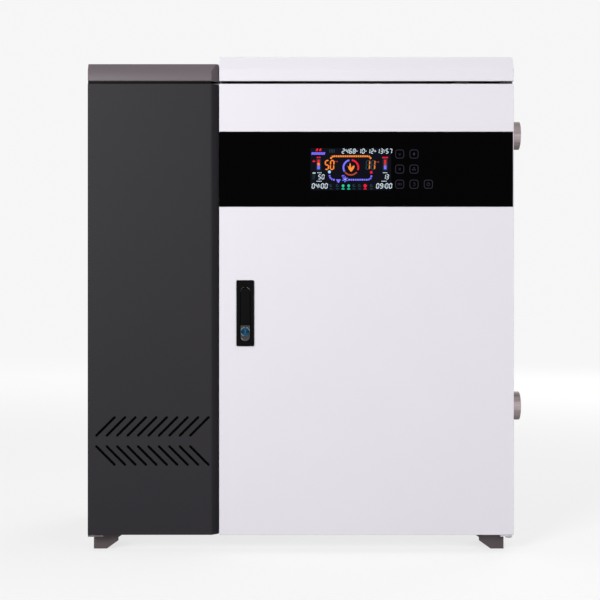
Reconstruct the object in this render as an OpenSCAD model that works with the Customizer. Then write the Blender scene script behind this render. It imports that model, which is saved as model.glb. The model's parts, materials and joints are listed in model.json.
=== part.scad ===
// Electric heating boiler. A floor-standing cabinet with a dark equipment column on the left
// and a pale main bay behind a hinged door. The bay holds the heating vessel, the pump and the
// pipes, and the column holds the breaker, the contactor and the fan-cooled power module.
// Millimetres. +Z is up, the door faces -Y, and the origin is the middle of the base.

/* [Cabinet] */
// Width of the column and the door together
body_w = 682; // [660:1:740]
// Depth from the door skin to the back panel
body_d = 400; // [390:1:450]
// Height of the door and of the column cover
front_h = 722; // [712:1:780]
// Width of the dark column
column_w = 209; // [200:1:225]
// Thickness of the cabinet sheet
sheet = 1.5; // [1.2:0.1:1.8]
// Height of the feet
foot_h = 26; // [18:1:40]
// Seam under the top caps
cap_seam = 4.3; // [4:0.1:6]
// Width of the bevel on the column's right edge
column_bevel = 11; // [5:0.5:12]

/* [Top caps] */
// Upright band of the pale cap
main_fascia = 19.5; // [14:0.5:26]
// Rise of the pale cap's sloping band
main_rise = 22; // [14:0.5:30]
// Run of the pale cap's sloping band
main_run = 16; // [8:0.5:24]
// Upright band of the dark cap
column_fascia = 15.5; // [10:0.5:20]
// Rise of the dark cap's sloping band
column_rise = 13; // [8:0.5:18]
// Run of the dark cap's sloping band
column_run = 7; // [4:0.5:14]

/* [Door] */
// Thickness of the door
door_t = 22; // [21:0.5:26]
// Gap between the column and the door
door_gap = 1.5; // [1.2:0.1:2.5]
// Gap between the door's back and the cabinet
frame_gap = 2.5; // [2.3:0.1:4]
// Top edge of the control glass below the top of the door
glass_drop = 76.5; // [60:0.5:90]
// Height of the control glass
glass_h = 120.5; // [112:0.5:130]
// Thickness of the control glass
glass_t = 4; // [3:0.5:5]
// Hinge axis to the door's right side
hinge_in = 7.5; // [7:0.1:8]
// Hinge axis to the door skin
hinge_back = 8; // [7.5:0.1:9]
// Radius of the hinge pins
pin_r = 3.5; // [3:0.1:4]

/* [Lock] */
// Width of the lock frame
lock_w = 28.4; // [26:0.2:34]
// Height of the lock frame
lock_h = 105.6; // [100:0.2:120]
// How far the lock stands in front of the skin
lock_proud = 2; // [1:0.1:3]
// Middle of the lock to the door's left edge
lock_in = 41.7; // [38:0.1:46]
// Middle of the lock below the control glass
lock_drop = 170; // [100:1:240]

/* [Louvres] */
// Middle of the first louvre to the column's left side
louvre_in = 28.5; // [24:0.5:40]
// Step from one louvre to the next
louvre_pitch = 16.7; // [12:0.1:24]
// Length of one louvre
louvre_l = 45; // [30:1:46]
// Width of one louvre
louvre_w = 4; // [1.6:0.1:4.4]
// Step between the two rows
louvre_rows = 46.6; // [42:0.1:56]

/* [Water side] */
// Outer radius of the stubs
stub_r = 24; // [21:0.1:25]
// Step from the stubs down to the pipes inside
stub_step = 0.8; // [0.4:0.1:2]
// Wall of the pipes
pipe_wall = 3; // [2:0.1:4]
// Radius of the pipes' bends, at their middle
bend_r = 38.5; // [36:0.5:42]
// How far the stubs stand out of the side
stub_out = 32; // [30:1:45]
// Stubs to the door skin
stub_back = 140; // [135:1:150]
// Height of the return stub above the foot of the door
inlet_rise = 195.5; // [185:1:205]
// Flow stub below the top of the door
outlet_drop = 65; // [60:1:90]
// Gap between the vessel's jacket and the back panel
vessel_gap = 16.5; // [8:0.5:30]
// Wall of the heating vessel
vessel_wall = 4; // [3:0.5:5]
// Thickness of the insulating jacket
jacket_t = 20; // [12:1:24]

/* [Hidden] */
$fn = 48;

// How far every cut runs past the face that it opens
overrun = 1;
// Radial clearance of a shaft that turns in its bore
running = 0.06;
// Gap that a turning or sliding piece keeps on each side
play = 0.3;
// Radial gap round a fixed piece in its hole
ease = 0.1;

// Where the cabinet stands
gland_out = 24;
ring_out = 0.6;
total_w = body_w + stub_out;
total_d = lock_proud + ring_out + body_d + gland_out;
left_x = -total_w / 2;
right_x = left_x + body_w;
stub_x = left_x + total_w;
front_y = -total_d / 2 + lock_proud + ring_out;
back_y = front_y + body_d;
door_drop = 1;
front_z = foot_h + door_drop;
front_top_z = front_z + front_h;
cap_z = front_top_z + cap_seam;
column_x = left_x + column_w;
door_x = column_x + door_gap;
door_back_y = front_y + door_t;
frame_y = door_back_y + frame_gap;
inner_y = frame_y + sheet;
pan_top_z = foot_h + sheet;
inner_back_y = back_y - sheet;
glass_rise = front_h - glass_drop - glass_h;
lock_rise = glass_rise - lock_drop;
outlet_rise = front_h - outlet_drop;

// The divider stands just right of the column's edge
divider_in = 0.5;
divider_x = column_x + divider_in;
bay_x = divider_x + sheet;
bay_right_x = right_x - sheet;
column_bay_x = left_x + sheet;

// Colours
dark = [0.22, 0.22, 0.24];
pale = [0.9, 0.89, 0.92];
zinc = [0.62, 0.63, 0.65];
steel = [0.55, 0.53, 0.52];
black = [0.06, 0.06, 0.07];
brass = [0.72, 0.58, 0.3];
board_green = [0.1, 0.32, 0.2];
iron = [0.3, 0.12, 0.1];

// A block from one corner to the opposite one
module slab(low, high) {
    translate(low) cube(high - low);
}

// Round bars along the three axes, each from one end to the other
module bar_x(x0, x1, y, z, r) {
    translate([x0, y, z]) rotate([0, 90, 0]) cylinder(h = x1 - x0, r = r);
}

module bar_y(x, y0, y1, z, r) {
    translate([x, y0, z]) rotate([-90, 0, 0]) cylinder(h = y1 - y0, r = r);
}

module bar_z(x, y, z0, z1, r) {
    translate([x, y, z0]) cylinder(h = z1 - z0, r = r);
}

// A hexagon nut or bolt head standing on its lower face
module hexagon(x, y, z0, z1, r) {
    translate([x, y, z0]) cylinder(h = z1 - z0, r = r, $fn = 6);
}

// A flat rounded rectangle about the origin
module round_rect(w, h, r) {
    square([w - 2 * r, h], center = true);
    square([w, h - 2 * r], center = true);
    for (u = [-1, 1], v = [-1, 1]) {
        translate([u * (w / 2 - r), v * (h / 2 - r)]) circle(r);
    }
}

// A rounded plate that faces the door side, from y0 back to y1
module front_plate(x, z, y0, y1, w, h, r) {
    translate([x, y1, z]) rotate([90, 0, 0]) linear_extrude(y1 - y0) round_rect(w, h, r);
}

// A quarter of a ring, from +X to +Y about +Z
module quarter(ring_r, r) {
    rotate_extrude(angle = 90) translate([ring_r, 0]) circle(r);
}

// Base pan, between the side panels, with an upturned edge at the back
pan_edge = 14;
gland_x = left_x + 0.3 * column_w;
gland_z = pan_top_z + 3.6 * pan_edge;
module base_pan() color(zinc) difference() {
    union() {
        slab([column_bay_x, inner_y, foot_h], [bay_right_x, inner_back_y, pan_top_z]);
        slab([column_bay_x, inner_back_y - 2 * sheet, foot_h],
            [bay_right_x, inner_back_y - sheet, pan_top_z + pan_edge]);
    }
    for (side = [0, 1], row = [0, 1]) {
        bar_z(foot_bolt_x(side), foot_bolt_y(row), foot_h - overrun, pan_top_z + overrun,
            bolt_r + ease);
    }
}

// Feet: bent sheet brackets with a floor pad, an outer web and two cut webs
foot_t = 2.5;
foot_w = 39.8;
foot_pad_w = 21;
foot_l = 60;
foot_in = 5.6;
foot_right_in = 12.2;
foot_web_share = 0.515;
foot_back_in = 8;
foot_bolt_in = 27;
bolt_r = 4;
bolt_head_r = 7.5;
bolt_head_h = 5.3;
bolt_tail = 2;
anchor_r = 5.5;
anchor_in = 11.5;
function foot_x(side) = side == 0 ? left_x + foot_in : right_x - foot_right_in;
function foot_sign(side) = side == 0 ? 1 : -1;
function foot_y(row) = row == 0 ? inner_y + play : back_y - foot_back_in - foot_l;
function foot_bolt_x(side) = foot_x(side) + foot_sign(side) * foot_bolt_in;
function foot_bolt_y(row) = foot_y(row) + foot_l / 2;
function anchor_x(side) = foot_x(side) + foot_sign(side) * anchor_in;

module foot_web() {
    rotate([90, 0, 0]) linear_extrude(foot_t) polygon([
        [0, 0], [foot_pad_w, 0], [foot_w, foot_web_share * foot_h], [foot_w, foot_h], [0, foot_h]
    ]);
}

module foot() {
    difference() {
        union() {
            cube([foot_pad_w, foot_l, foot_t]);
            cube([foot_t, foot_l, foot_h]);
            translate([0, 0, foot_h - foot_t]) cube([foot_w, foot_l, foot_t]);
            translate([0, foot_t, 0]) foot_web();
            translate([0, foot_l, 0]) foot_web();
        }
        translate([anchor_in, foot_l / 2, -overrun]) cylinder(h = foot_t + 2 * overrun, r = anchor_r);
        translate([foot_bolt_in, foot_l / 2, foot_h - foot_t - overrun])
            cylinder(h = foot_t + 2 * overrun, r = bolt_r + ease);
    }
}

// The right front foot is notched round the lower hinge bracket
module feet() color(steel) difference() {
    for (row = [0, 1]) {
        translate([foot_x(0), foot_y(row), 0]) foot();
        translate([foot_x(1), foot_y(row), 0]) mirror([1, 0, 0]) foot();
    }
    slab([right_x - bracket_in - bracket_w - ease, inner_y, foot_h - foot_t - ease],
        [right_x, frame_y + lower_bracket_tail + ease, foot_h + overrun]);
}

module foot_bolts() color(zinc) {
    for (side = [0, 1], row = [0, 1]) {
        union() {
            hexagon(foot_bolt_x(side), foot_bolt_y(row), pan_top_z, pan_top_z + bolt_head_h, bolt_head_r);
            bar_z(foot_bolt_x(side), foot_bolt_y(row),
                foot_h - foot_t - bolt_head_h - bolt_tail, pan_top_z, bolt_r);
            hexagon(foot_bolt_x(side), foot_bolt_y(row), foot_h - foot_t - bolt_head_h,
                foot_h - foot_t, bolt_head_r);
        }
    }
}

// Side panels, each with a rear flange that takes the back panel's screws. The left one's
// low corner wraps round under the column cover as a lip.
left_flange = 23;
left_drop = 2.5;
left_lip_w = 25;
left_lip_h = 3;
left_lip_in = 1.5;
rear_flange = 15;
low_z = foot_h - left_drop;
lip_y = front_y + left_lip_in;
lip_top_z = low_z + left_lip_h;
module left_side_panel() color(dark) difference() {
    union() {
        slab([left_x, frame_y, low_z], [column_bay_x, back_y, cap_z]);
        slab([left_x, frame_y, low_z], [left_x + left_flange, inner_y, cap_z]);
        slab([left_x, lip_y, low_z], [column_bay_x, frame_y, lip_top_z]);
        slab([left_x, lip_y, low_z], [left_x + left_lip_w, lip_y + sheet, lip_top_z]);
        slab([left_x, inner_back_y - sheet, pan_top_z + pan_edge + sheet],
            [left_x + rear_flange, inner_back_y, cap_z]);
    }
    screw_holes(left_x + rear_flange / 2);
}

pipe_r = stub_r - stub_step;
stub_y = front_y + stub_back;
inlet_z = front_z + inlet_rise;
outlet_z = front_z + outlet_rise;
grommet_t = 5;
grommet_lip = 3;
grommet_lip_t = 2;
stub_start_x = right_x + grommet_lip_t + play;
side_hole_r = pipe_r + grommet_t;
module right_side_panel() color(pale) difference() {
    union() {
        slab([bay_right_x, frame_y, foot_h], [right_x, back_y, cap_z]);
        slab([right_x - rear_flange, inner_back_y - sheet, pan_top_z + pan_edge + sheet],
            [right_x, inner_back_y, cap_z]);
    }
    screw_holes(right_x - rear_flange / 2);
    for (z = [inlet_z, outlet_z]) {
        bar_x(bay_right_x - overrun, right_x + overrun, stub_y, z, side_hole_r);
    }
}

// Screws down both rear corners and the divider
screw_rows = 5;
screw_r = 2.4;
screw_head_r = 4.6;
screw_head_h = 2.6;
screw_end = 34;
screw_l = 8;
function screw_z(i) = pan_top_z + screw_end + i * (cap_z - pan_top_z - 2 * screw_end) / (screw_rows - 1);
module screw_holes(x) {
    for (i = [0:screw_rows - 1]) {
        bar_y(x, inner_back_y - sheet - overrun, back_y + overrun, screw_z(i), screw_r + ease);
    }
}

screw_xs = [left_x + rear_flange / 2, divider_x - rear_flange / 2, right_x - rear_flange / 2];
module panel_screws() color(zinc) {
    for (x = screw_xs, i = [0:screw_rows - 1]) {
        difference() {
            union() {
                bar_y(x, back_y - screw_l, back_y, screw_z(i), screw_r);
                bar_y(x, back_y, back_y + screw_head_h, screw_z(i), screw_head_r);
            }
            slab([x - screw_r, back_y + screw_head_h / 2, screw_z(i) - screw_r / 4],
                [x + screw_r, back_y + screw_head_h + overrun, screw_z(i) + screw_r / 4]);
            slab([x - screw_r / 4, back_y + screw_head_h / 2, screw_z(i) - screw_r],
                [x + screw_r / 4, back_y + screw_head_h + overrun, screw_z(i) + screw_r]);
        }
    }
}

// Back panel, with warm air slots high behind each bay
back_slot_rows = 6;
back_slot_h = 4;
back_slot_pitch = 12;
back_slot_w = 110;
back_slot_drop = 60;
module back_slots(x) {
    for (i = [0:back_slot_rows - 1]) {
        front_plate(x, cap_z - back_slot_drop - i * back_slot_pitch, inner_back_y - overrun,
            back_y + overrun, back_slot_w, back_slot_h, back_slot_h / 2.5);
    }
}

module back_panel() color(pale) difference() {
    slab([column_bay_x, inner_back_y, foot_h], [bay_right_x, back_y, cap_z]);
    for (x = screw_xs) {
        screw_holes(x);
    }
    back_slots(left_x + column_w / 2);
    back_slots((bay_x + right_x) / 2);
    bar_y(gland_x, inner_back_y - overrun, back_y + overrun, gland_z, gland_thread_r + ease);
}

// Divider between the column and the bay, flanged towards the column
divider_flange = 16;
cable_hole_r = 16;
cable_hole_z = cap_z - 2.6 * cable_hole_r;
module divider_panel() color(zinc) difference() {
    union() {
        slab([divider_x, frame_y, pan_top_z], [bay_x, inner_back_y, cap_z]);
        slab([bay_x - divider_flange, frame_y, pan_top_z], [bay_x, inner_y, cap_z]);
        slab([bay_x - divider_flange, inner_back_y - sheet, pan_top_z + pan_edge + sheet],
            [bay_x, inner_back_y, cap_z]);
    }
    slab([divider_x - overrun, inner_back_y - 2 * sheet - play, pan_top_z - overrun],
        [bay_x + overrun, inner_back_y - sheet, pan_top_z + pan_edge + play]);
    bar_x(divider_x - overrun, bay_x + overrun, cable_hole_y, cable_hole_z, cable_hole_r);
    screw_holes(divider_x - rear_flange / 2);
}

// Door frame: a ring of sheet with an outer return, slotted for the upper hinge bracket
frame_w = 26;
frame_return = 12;
bracket_gap = 0.6;
bracket_t = cap_seam - sheet - bracket_gap;
bracket_z = cap_z - sheet - bracket_t;
bracket_w = 19;
bracket_in = sheet + play;
bracket_tail = 9;
module door_frame() color(zinc) difference() {
    slab([bay_x, frame_y, pan_top_z], [bay_right_x, frame_y + frame_return, cap_z]);
    slab([bay_x + sheet, inner_y, pan_top_z + sheet],
        [bay_right_x - sheet, frame_y + frame_return + overrun, cap_z - sheet]);
    slab([bay_x + frame_w, frame_y - overrun, pan_top_z + frame_w],
        [bay_right_x - frame_w, inner_y + overrun, cap_z - frame_w]);
    slab([right_x - bracket_in - bracket_w - ease, frame_y - overrun, bracket_z - ease],
        [right_x - bracket_in + ease, frame_y + bracket_tail + ease, cap_z - sheet]);
}

// Foam seal round the door opening
seal_w = 8;
seal_t = frame_gap - play;
seal_in = 16;
module door_seal() color(black) difference() {
    slab([bay_x + seal_w, frame_y - seal_t, pan_top_z + seal_w],
        [right_x - seal_in, frame_y, front_top_z - seal_w]);
    slab([bay_x + 2 * seal_w, frame_y - seal_t - overrun, pan_top_z + 2 * seal_w],
        [right_x - seal_in - seal_w, frame_y + overrun, front_top_z - 2 * seal_w]);
}

// Column cover: a pan with a bevelled right edge and two rows of slanted louvres
mitre = tan(22.5);
louvre_end = 17;
louvre_rise = 150.3;
louvre_count = 1 + floor((column_w - column_bevel - louvre_in - louvre_end) / louvre_pitch);
function louvre_x(i) = left_x + louvre_in + i * louvre_pitch;
louvre_z = front_z + louvre_rise;
// A louvre's length between its round ends
louvre_straight = louvre_l - louvre_w;
module cover_plan(t, back) {
    polygon([
        [left_x + t, front_y + t],
        [column_x - column_bevel - mitre * t, front_y + t],
        [column_x - t, front_y + column_bevel + mitre * t],
        [column_x - t, back],
        [left_x + t, back]
    ]);
}

module louvre_cuts() {
    for (i = [0:louvre_count - 1], row = [-1, 1]) {
        translate([louvre_x(i), front_y - overrun, louvre_z + row * louvre_rows / 2])
        rotate([0, -row * 45, 0]) {
            translate([-louvre_straight / 2, 0, -louvre_w / 2])
                cube([louvre_straight, sheet + 2 * overrun, louvre_w]);
            for (x = [-louvre_straight / 2, louvre_straight / 2]) {
                translate([x, 0, 0]) rotate([-90, 0, 0]) cylinder(r = louvre_w / 2, h = sheet + 2 * overrun);
            }
        }
    }
}

module column_front_cover() color(dark) difference() {
    translate([0, 0, front_z]) linear_extrude(front_h) cover_plan(0, frame_y);
    translate([0, 0, front_z + sheet]) linear_extrude(front_h - 2 * sheet)
        cover_plan(sheet, frame_y + overrun);
    louvre_cuts();
}

// Foam filter pad held against the back of the louvres
filter_t = 6;
filter_edge = 8;
filter_bend_gap = 2.5;
module air_filter() color(black)
    slab([left_x + sheet + filter_edge, front_y + sheet,
        louvre_z - louvre_rows / 2 - louvre_l / 2 - filter_edge],
        [column_x - column_bevel - filter_bend_gap, front_y + sheet + filter_t,
        louvre_z + louvre_rows / 2 + louvre_l / 2 + filter_edge]);

// Top caps: folded sheet lids, open below, with a sloping band along the front
module cap_profile(t, fascia, rise, run, floor_z) {
    lean = atan2(run, rise);
    polygon([
        [front_y + t, floor_z],
        [front_y + t, cap_z + fascia - t * tan(lean / 2)],
        [front_y + run + t * tan(45 - lean / 2), cap_z + fascia + rise - t],
        [back_y - t, cap_z + fascia + rise - t],
        [back_y - t, floor_z]
    ]);
}

module cap(x0, x1, fascia, rise, run) difference() {
    along_x(x0, x1) cap_profile(0, fascia, rise, run, cap_z);
    along_x(x0 + sheet, x1 - sheet) cap_profile(sheet, fascia, rise, run, cap_z - overrun);
}

// A profile drawn in Y and Z and drawn out along X
module along_x(x0, x1) {
    translate([x0, 0, 0]) rotate([90, 0, 90]) linear_extrude(x1 - x0) children();
}

module column_top_cap() color(dark) difference() {
    intersection() {
        along_x(left_x, column_x) cap_profile(0, column_fascia, column_rise, column_run, cap_z);
        translate([0, 0, cap_z]) linear_extrude(column_fascia + column_rise) cover_plan(0, back_y);
    }
    intersection() {
        along_x(left_x + sheet, column_x - sheet)
            cap_profile(sheet, column_fascia, column_rise, column_run, cap_z - overrun);
        translate([0, 0, cap_z - overrun]) linear_extrude(column_fascia + column_rise)
            cover_plan(sheet, back_y);
    }
}

module main_top_cap() color(pale) cap(door_x, right_x, main_fascia, main_rise, main_run);

// Door hinge: a bracket, a pin and a bush at the top and at the bottom
hinge_x = right_x - hinge_in;
hinge_y = front_y + hinge_back;
pin_head_over = 2;
pin_head_r = pin_r + pin_head_over;
pin_head_h = sheet - ease;
pin_in = 16;
bush_wall = 2;
bush_r = pin_r + bush_wall;
bush_l = 12;
collar_h = door_drop - play;
lower_bracket_z = foot_h - bracket_t;
lower_bracket_tail = 20;
bracket_front = hinge_back - pin_head_r;
module hinge_brackets() color(black) {
    difference() {
        slab([right_x - bracket_in - bracket_w, front_y + bracket_front, bracket_z],
            [right_x - bracket_in, frame_y + bracket_tail, bracket_z + bracket_t]);
        bar_z(hinge_x, hinge_y, bracket_z - overrun, bracket_z + bracket_t + overrun, pin_r + ease / 2);
    }
    difference() {
        slab([right_x - bracket_in - bracket_w, front_y + bracket_front, lower_bracket_z],
            [right_x - bracket_in, frame_y + lower_bracket_tail, foot_h]);
        bar_z(hinge_x, hinge_y, lower_bracket_z - overrun, foot_h + overrun, pin_r + ease / 2);
    }
}

module hinge_pins() color(steel) {
    union() {
        bar_z(hinge_x, hinge_y, front_top_z - pin_in, bracket_z + bracket_t, pin_r);
        bar_z(hinge_x, hinge_y, bracket_z + bracket_t, bracket_z + bracket_t + pin_head_h, pin_head_r);
    }
    union() {
        bar_z(hinge_x, hinge_y, lower_bracket_z, front_z + pin_in, pin_r);
        bar_z(hinge_x, hinge_y, lower_bracket_z - pin_head_h, lower_bracket_z, pin_head_r);
        bar_z(hinge_x, hinge_y, foot_h, foot_h + collar_h, pin_head_r);
    }
}

module hinge_bush(z0, z1) {
    difference() {
        bar_z(hinge_x, hinge_y, z0, z1, bush_r);
        bar_z(hinge_x, hinge_y, z0 - overrun, z1 + overrun, pin_r + running);
    }
}

module hinge_bushes() color(brass) {
    hinge_bush(front_z, front_z + bush_l);
    hinge_bush(front_top_z - bush_l, front_top_z);
}

// Stand: a skirt with two windows that carries the vessel on the base pan
pump_gap = 20;
pump_l = 180;
port_straight = 15.5;
vessel_gap_share = 0.673;
vessel_front_y = stub_y + bend_r + port_straight;
vessel_r = (inner_back_y - vessel_gap - jacket_t - vessel_front_y) / 2;
vessel_y = vessel_front_y + vessel_r;
vessel_chain = vessel_r + jacket_t + bend_r + pump_gap + pump_l;
vessel_x = bay_x + vessel_gap_share * (bay_right_x - bay_x - vessel_chain) + vessel_r + jacket_t;
vessel_foot_rise = 110;
flange_t = 14;
port_gap = 8;
port_z = outlet_z - 2 * bend_r;
vessel_z = pan_top_z + vessel_foot_rise;
vessel_top_z = port_z + pipe_r + port_gap + flange_t;
dish_h = 20;
dish_r = 0.7 * vessel_r;
stand_t = 3;
stand_window = 0.6 * vessel_r;
stand_foot = 12;
module vessel_stand() color(zinc) difference() {
    union() {
        bar_z(vessel_x, vessel_y, pan_top_z, vessel_z + 2 * dish_h, vessel_r + stand_t + ease);
        bar_z(vessel_x, vessel_y, pan_top_z, pan_top_z + stand_t, vessel_r + stand_foot);
    }
    bar_z(vessel_x, vessel_y, pan_top_z - overrun, vessel_z + 2 * dish_h + overrun, vessel_r + ease);
    slab([vessel_x - stand_window, vessel_y - vessel_r - stand_foot - overrun, pan_top_z + stand_foot],
        [vessel_x + stand_window, vessel_y + vessel_r + stand_foot + overrun, vessel_z]);
}

// Heating vessel: a tube with a top flange, and two ports in its front
flange_w = 13;
foot_seam_z = vessel_z + dish_h + vessel_wall;
module heating_vessel() color(steel) difference() {
    translate([vessel_x, vessel_y, 0]) rotate_extrude() polygon([
        [vessel_r - vessel_wall, foot_seam_z], [vessel_r, foot_seam_z],
        [vessel_r, vessel_top_z - flange_t], [vessel_r + flange_w, vessel_top_z - flange_t],
        [vessel_r + flange_w, vessel_top_z], [vessel_r - vessel_wall, vessel_top_z]
    ]);
    for (z = [inlet_z, port_z]) {
        bar_y(vessel_x, vessel_y - vessel_r - overrun, vessel_y - vessel_r / 2, z, pipe_r + ease);
    }
}

// Vessel foot: a dished end with a drain neck, welded under the tube
drain_r = 10;
drain_wall = 2;
neck_l = 8;
module vessel_foot() color(steel) difference() {
    union() {
        translate([vessel_x, vessel_y, 0]) rotate_extrude() polygon([
            [0, vessel_z], [dish_r, vessel_z], [vessel_r, vessel_z + dish_h],
            [vessel_r, foot_seam_z], [0, foot_seam_z]
        ]);
        bar_z(vessel_x, vessel_y, vessel_z - neck_l, vessel_z, drain_r + drain_wall);
    }
    translate([vessel_x, vessel_y, 0]) rotate_extrude() polygon([
        [0, vessel_z + vessel_wall], [dish_r - vessel_wall / 2, vessel_z + vessel_wall],
        [vessel_r - vessel_wall, vessel_z + dish_h + vessel_wall / 2],
        [vessel_r - vessel_wall, foot_seam_z + overrun], [0, foot_seam_z + overrun]
    ]);
    bar_z(vessel_x, vessel_y, vessel_z - neck_l - overrun, vessel_z + vessel_wall + overrun, drain_r + ease);
}

// Insulating jacket between the two side ports
jacket_gap = 12;
module vessel_jacket() color(black) difference() {
    bar_z(vessel_x, vessel_y, inlet_z + pipe_r + jacket_gap, port_z - pipe_r - jacket_gap,
        vessel_r + ease + jacket_t);
    bar_z(vessel_x, vessel_y, inlet_z, port_z, vessel_r + ease);
}

// Heater lid with its ring of bolts, carrying the immersion elements
lid_t = 12;
lid_bolts = 8;
lid_bolt_r = 4;
lid_bolt_head_h = 5;
lid_top_z = vessel_top_z + lid_t;
element_count = 3;
element_pitch_share = 0.42;
element_r = 5.5;
element_gap_share = 0.36;
element_foot = 60;
terminal_h = 20;
terminal_r = 3;
lid_ring_r = vessel_r + flange_w - lid_bolt_head_h - lid_bolt_r / 2;
function leg_x(i) = vessel_x + (i - 1) * element_pitch_share * vessel_r;
function leg_y(s) = vessel_y + s * element_gap_share * vessel_r;
module heater_lid() color(steel) difference() {
    union() {
        bar_z(vessel_x, vessel_y, vessel_top_z, lid_top_z, vessel_r + flange_w);
        for (i = [0:lid_bolts - 1]) {
            a = (i + 0.5) * 360 / lid_bolts;
            hexagon(vessel_x + lid_ring_r * cos(a), vessel_y + lid_ring_r * sin(a), lid_top_z,
                lid_top_z + lid_bolt_head_h, lid_bolt_r * 1.5);
        }
    }
    for (i = [0:element_count - 1], s = [-1, 1]) {
        bar_z(leg_x(i), leg_y(s), vessel_top_z - overrun, lid_top_z + overrun, element_r + ease / 2);
    }
}

module heating_elements() color(steel) {
    for (i = [0:element_count - 1]) {
        union() {
            for (s = [-1, 1]) {
                bar_z(leg_x(i), leg_y(s), vessel_z + element_foot, lid_top_z + element_r, element_r);
                bar_z(leg_x(i), leg_y(s), lid_top_z + element_r, lid_top_z + terminal_h, terminal_r);
                translate([leg_x(i), leg_y(s), vessel_z + element_foot]) sphere(element_r);
            }
            bar_y(leg_x(i), leg_y(-1), leg_y(1), vessel_z + element_foot, element_r);
        }
    }
}

// Flow pipe: out of the vessel's front, up, and right through the cabinet's side
wall_in = vessel_y - sqrt(pow(vessel_r - vessel_wall, 2) - pow(pipe_r, 2));
bend_y = stub_y + bend_r;
bend_x = vessel_x + bend_r;
boss_r = 13;
boss_rise = 8;
boss_bore_r = 6;
boss_z = outlet_z + pipe_r + boss_rise;
vent_in = 34;
valve_in = 104;
gauge_in = 176;
boss_xs = [bend_x + vent_in, bend_x + valve_in, bend_x + gauge_in];
module outlet_run(r, extra) {
    bar_y(vessel_x, bend_y, wall_in + extra, port_z, r);
    translate([vessel_x, bend_y, port_z + bend_r]) mirror([0, 1, 0]) rotate([0, 90, 0]) quarter(bend_r, r);
    translate([bend_x, stub_y, port_z + bend_r]) mirror([1, 0, 0]) rotate([90, 0, 0]) quarter(bend_r, r);
    bar_x(bend_x, stub_x + extra, stub_y, outlet_z, r);
}

module stub(z) bar_x(stub_start_x, stub_x, stub_y, z, stub_r);

module outlet_pipe() color(steel) difference() {
    union() {
        outlet_run(pipe_r, 0);
        stub(outlet_z);
        for (x = boss_xs) {
            bar_z(x, stub_y, outlet_z, boss_z, boss_r);
        }
    }
    outlet_run(pipe_r - pipe_wall, overrun);
    for (x = boss_xs) {
        bar_z(x, stub_y, outlet_z, boss_z + overrun, boss_bore_r);
    }
}

// Return pipes: from the stub to the pump, and from the pump into the vessel
pump_x = bend_x + pump_gap;
pump_right_x = pump_x + pump_l;
module link_run(r, extra) {
    bar_y(vessel_x, bend_y, wall_in + extra, inlet_z, r);
    translate([bend_x, bend_y, inlet_z]) rotate([0, 0, 180]) quarter(bend_r, r);
    bar_x(bend_x, pump_x + extra, stub_y, inlet_z, r);
}

module inlet_pipes() color(steel) {
    difference() {
        link_run(pipe_r, 0);
        link_run(pipe_r - pipe_wall, overrun);
    }
    difference() {
        union() {
            bar_x(pump_right_x, stub_x, stub_y, inlet_z, pipe_r);
            stub(inlet_z);
        }
        bar_x(pump_right_x - overrun, stub_x + overrun, stub_y, inlet_z, pipe_r - pipe_wall);
    }
}

// Rubber grommets that close the side panel round the pipes
module pipe_grommets() color(black) {
    for (z = [inlet_z, outlet_z]) {
        difference() {
            union() {
                bar_x(bay_right_x - grommet_lip_t, right_x + grommet_lip_t, stub_y, z, side_hole_r - ease);
                bar_x(right_x, right_x + grommet_lip_t, stub_y, z, side_hole_r + grommet_lip);
                bar_x(bay_right_x - grommet_lip_t, bay_right_x, stub_y, z, side_hole_r + grommet_lip);
            }
            bar_x(bay_right_x - grommet_lip_t - overrun, right_x + grommet_lip_t + overrun, stub_y, z,
                pipe_r + ease);
        }
    }
}

// Circulation pump: cast volute with union nuts, motor towards the door, one rotor
volute_r = 58;
volute_d = 52;
volute_wall = 8;
nut_r = 34;
nut_l = 26;
impeller_r = 44;
impeller_d = 18;
pump_shaft_r = 5;
pump_mid_x = (pump_x + pump_right_x) / 2;
motor_r = 48;
motor_l = 58;
volute_front_y = stub_y - volute_d / 2;
motor_front_y = volute_front_y - motor_l;
module pump_volute() color(iron) difference() {
    union() {
        bar_y(pump_mid_x, volute_front_y, stub_y + volute_d / 2, inlet_z, volute_r);
        bar_x(pump_x, pump_right_x, stub_y, inlet_z, pipe_r);
        for (x = [pump_x, pump_right_x - nut_l]) {
            translate([x, stub_y, inlet_z]) rotate([0, 90, 0]) cylinder(h = nut_l, r = nut_r, $fn = 8);
        }
    }
    bar_x(pump_x - overrun, pump_right_x + overrun, stub_y, inlet_z, pipe_r - pipe_wall);
    bar_y(pump_mid_x, volute_front_y + volute_wall, stub_y + volute_d / 2 - volute_wall, inlet_z,
        volute_r - volute_wall);
    bar_y(pump_mid_x, volute_front_y - overrun, stub_y, inlet_z, pump_shaft_r + running);
}

motor_hollow_r = 30;
motor_wall = 6;
motor_box_w = 70;
motor_box_h = 40;
module pump_motor() color(dark) difference() {
    union() {
        bar_y(pump_mid_x, motor_front_y, volute_front_y, inlet_z, motor_r);
        bar_y(pump_mid_x, volute_front_y - motor_wall, volute_front_y, inlet_z, volute_r);
        slab([pump_mid_x - motor_box_w / 2, motor_front_y + motor_wall, inlet_z + motor_r - motor_wall],
            [pump_mid_x + motor_box_w / 2, volute_front_y - 2 * motor_wall, inlet_z + motor_box_h + motor_r]);
    }
    bar_y(pump_mid_x, motor_front_y + motor_wall, volute_front_y - 2 * motor_wall, inlet_z, motor_hollow_r);
    bar_y(pump_mid_x, motor_front_y + motor_wall, volute_front_y + overrun, inlet_z, pump_shaft_r + running);
}

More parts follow.
